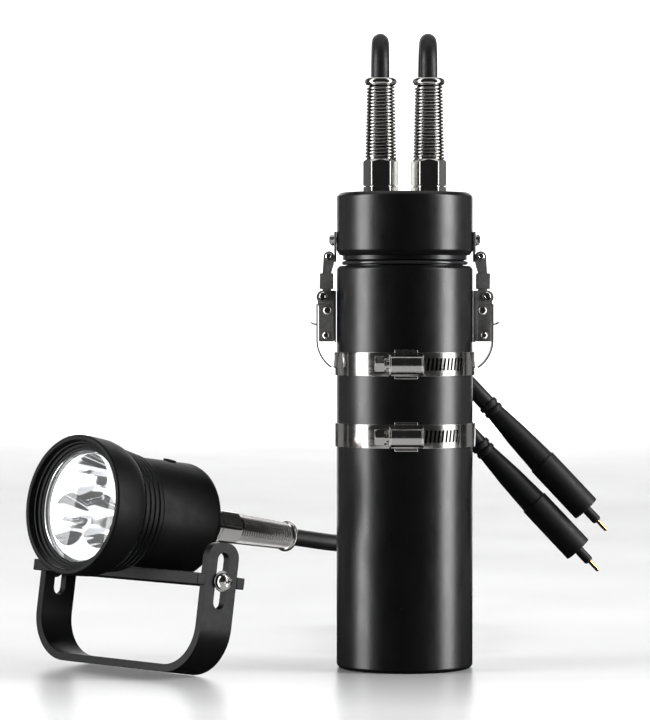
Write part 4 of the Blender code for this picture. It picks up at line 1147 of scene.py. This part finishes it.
def hank():
    """Two turns laid on each other, each a layer lower, and an end that curls in to the socket."""
    first = hank_turn(152.0)
    second = first[:13]
    small = arc((-6.0, 74.0), 18.0, 180, 350, 6)
    flat = [Vector(p) for p in [(30.0, 152.0)] + first + second + small + [(12.0, 84.0), (12.0, 95.5)]]
    reached, total = [], 0.0
    for before, point in zip(flat, flat[1:]):
        total += (point - before).length
        reached.append((point, total))
    run = []
    for point, along in reached:
        fall = smoothstep(along / LAYER_FALL) + smoothstep((along - HANK_TURN) / LAYER_FALL)
        lift = 3.1 * smoothstep((along - total + 50.0) / 40.0)
        run.append(Vector((point.x, point.y, HANK_TOP - LAYER * fall + lift)))
    return run


def head_lead():
    end = HEAD @ Vector((0, 0, (TAIL_END - GUARD_START - GUARD_LENGTH - 0.3) * MM)) / MM
    way = (HEAD.to_3x3() @ Vector((0, 0, -1))).normalized()
    free = [end - way * 2.2, end + way * 13.0, end + way * 26.0, (-29.0, 91.5, 56.4), (-15.5, 101.0, 52.4),
            (-2.4, 109.4, 46.6), (9.8, 118.2, 39.4), (20.0, 128.4, 31.6), (26.8, 139.0, 26.2),
            (29.6, 148.0, 23.6), (30.0, 152.0, HANK_TOP)]
    points = smooth_route(free, 12.0) + hank()
    lead = cable("head_cable", points, 5)
    profile = [(0, 43.0), (2.8, 43.0), (2.8, 56.0), (7.1, 56.0), (7.6, 55.4), (7.6, 22.0), (7.1, 21.4),
               (4.8, 6.4), (5.2, 6.0), (5.2, 4.2), (4.6, 3.8), (4.6, 2.8), (5.2, 2.4), (5.2, 0.5), (4.7, 0),
               (0, 0)]
    spot = towards((12.0, 94.0, 7.9), (0, 1, 0))
    socket = lathe("head_socket", profile, spot, MOULDED, steps=64, fillet=0.3)
    stands_for(socket, "set", "rubber", "head_lead_socket")
    stands_for(lead, "set", "rubber", "head_lead", "head_lead_hank")


def smoothstep(share):
    t = min(1.0, max(0.0, share))
    return t * t * (3 - 2 * t)


# ------------ carried-over pieces

def carried_over():
    """CAD pieces that keep their shape and get a finish."""
    latch_parts = [f"latch_{side}_{part}" for side in ("left", "right")
                   for part in ("keeper_screw", "link_pin", "lever_rivet")]
    for name in latch_parts + ["plate_screw_front", "plate_screw_rear"]:
        give(name, STEEL)
    give("led_board", BOARD)
    give("battery_pack", inner("shrink_sleeve", (0.02, 0.10, 0.32), (0.03, 0.13, 0.38), 0.0, 0.3, 0.42))
    green = inner("board_green", (0.02, 0.15, 0.05), (0.03, 0.19, 0.07), 0.0, 0.4, 0.55)
    give("protection_board", green)
    give("driver_board", green)
    give("heat_sink_plate", inner("copper_plate", (0.72, 0.36, 0.22), (0.8, 0.43, 0.28), 1.0, 0.25, 0.4))


def give(name, finish):
    node = nodes[name]
    node.data.materials.clear()
    node.data.materials.append(finish)
    if finish is STEEL:
        METAL.append(node)


# ------------ the whole scene

camera()
lights = studio()
lid_leads()
head_lead()
canister()
for gland_name, gland_place in GLANDS.items():
    gland(gland_name, gland_place)
    coil_guard(gland_name.replace("gland", "bend_guard"), gland_place)
clamp("upper", 156.5, -35.6, 0.0, True)
clamp("lower", 120.0, -41.0, -1.6, False)
for latch_side in LATCH:
    latch_set(latch_side)
head_barrel()
bezel()
port()
reflector()
emitters()
hand_strap()
mount_plate()
strap_fasteners()
carried_over()
share_light(lights)
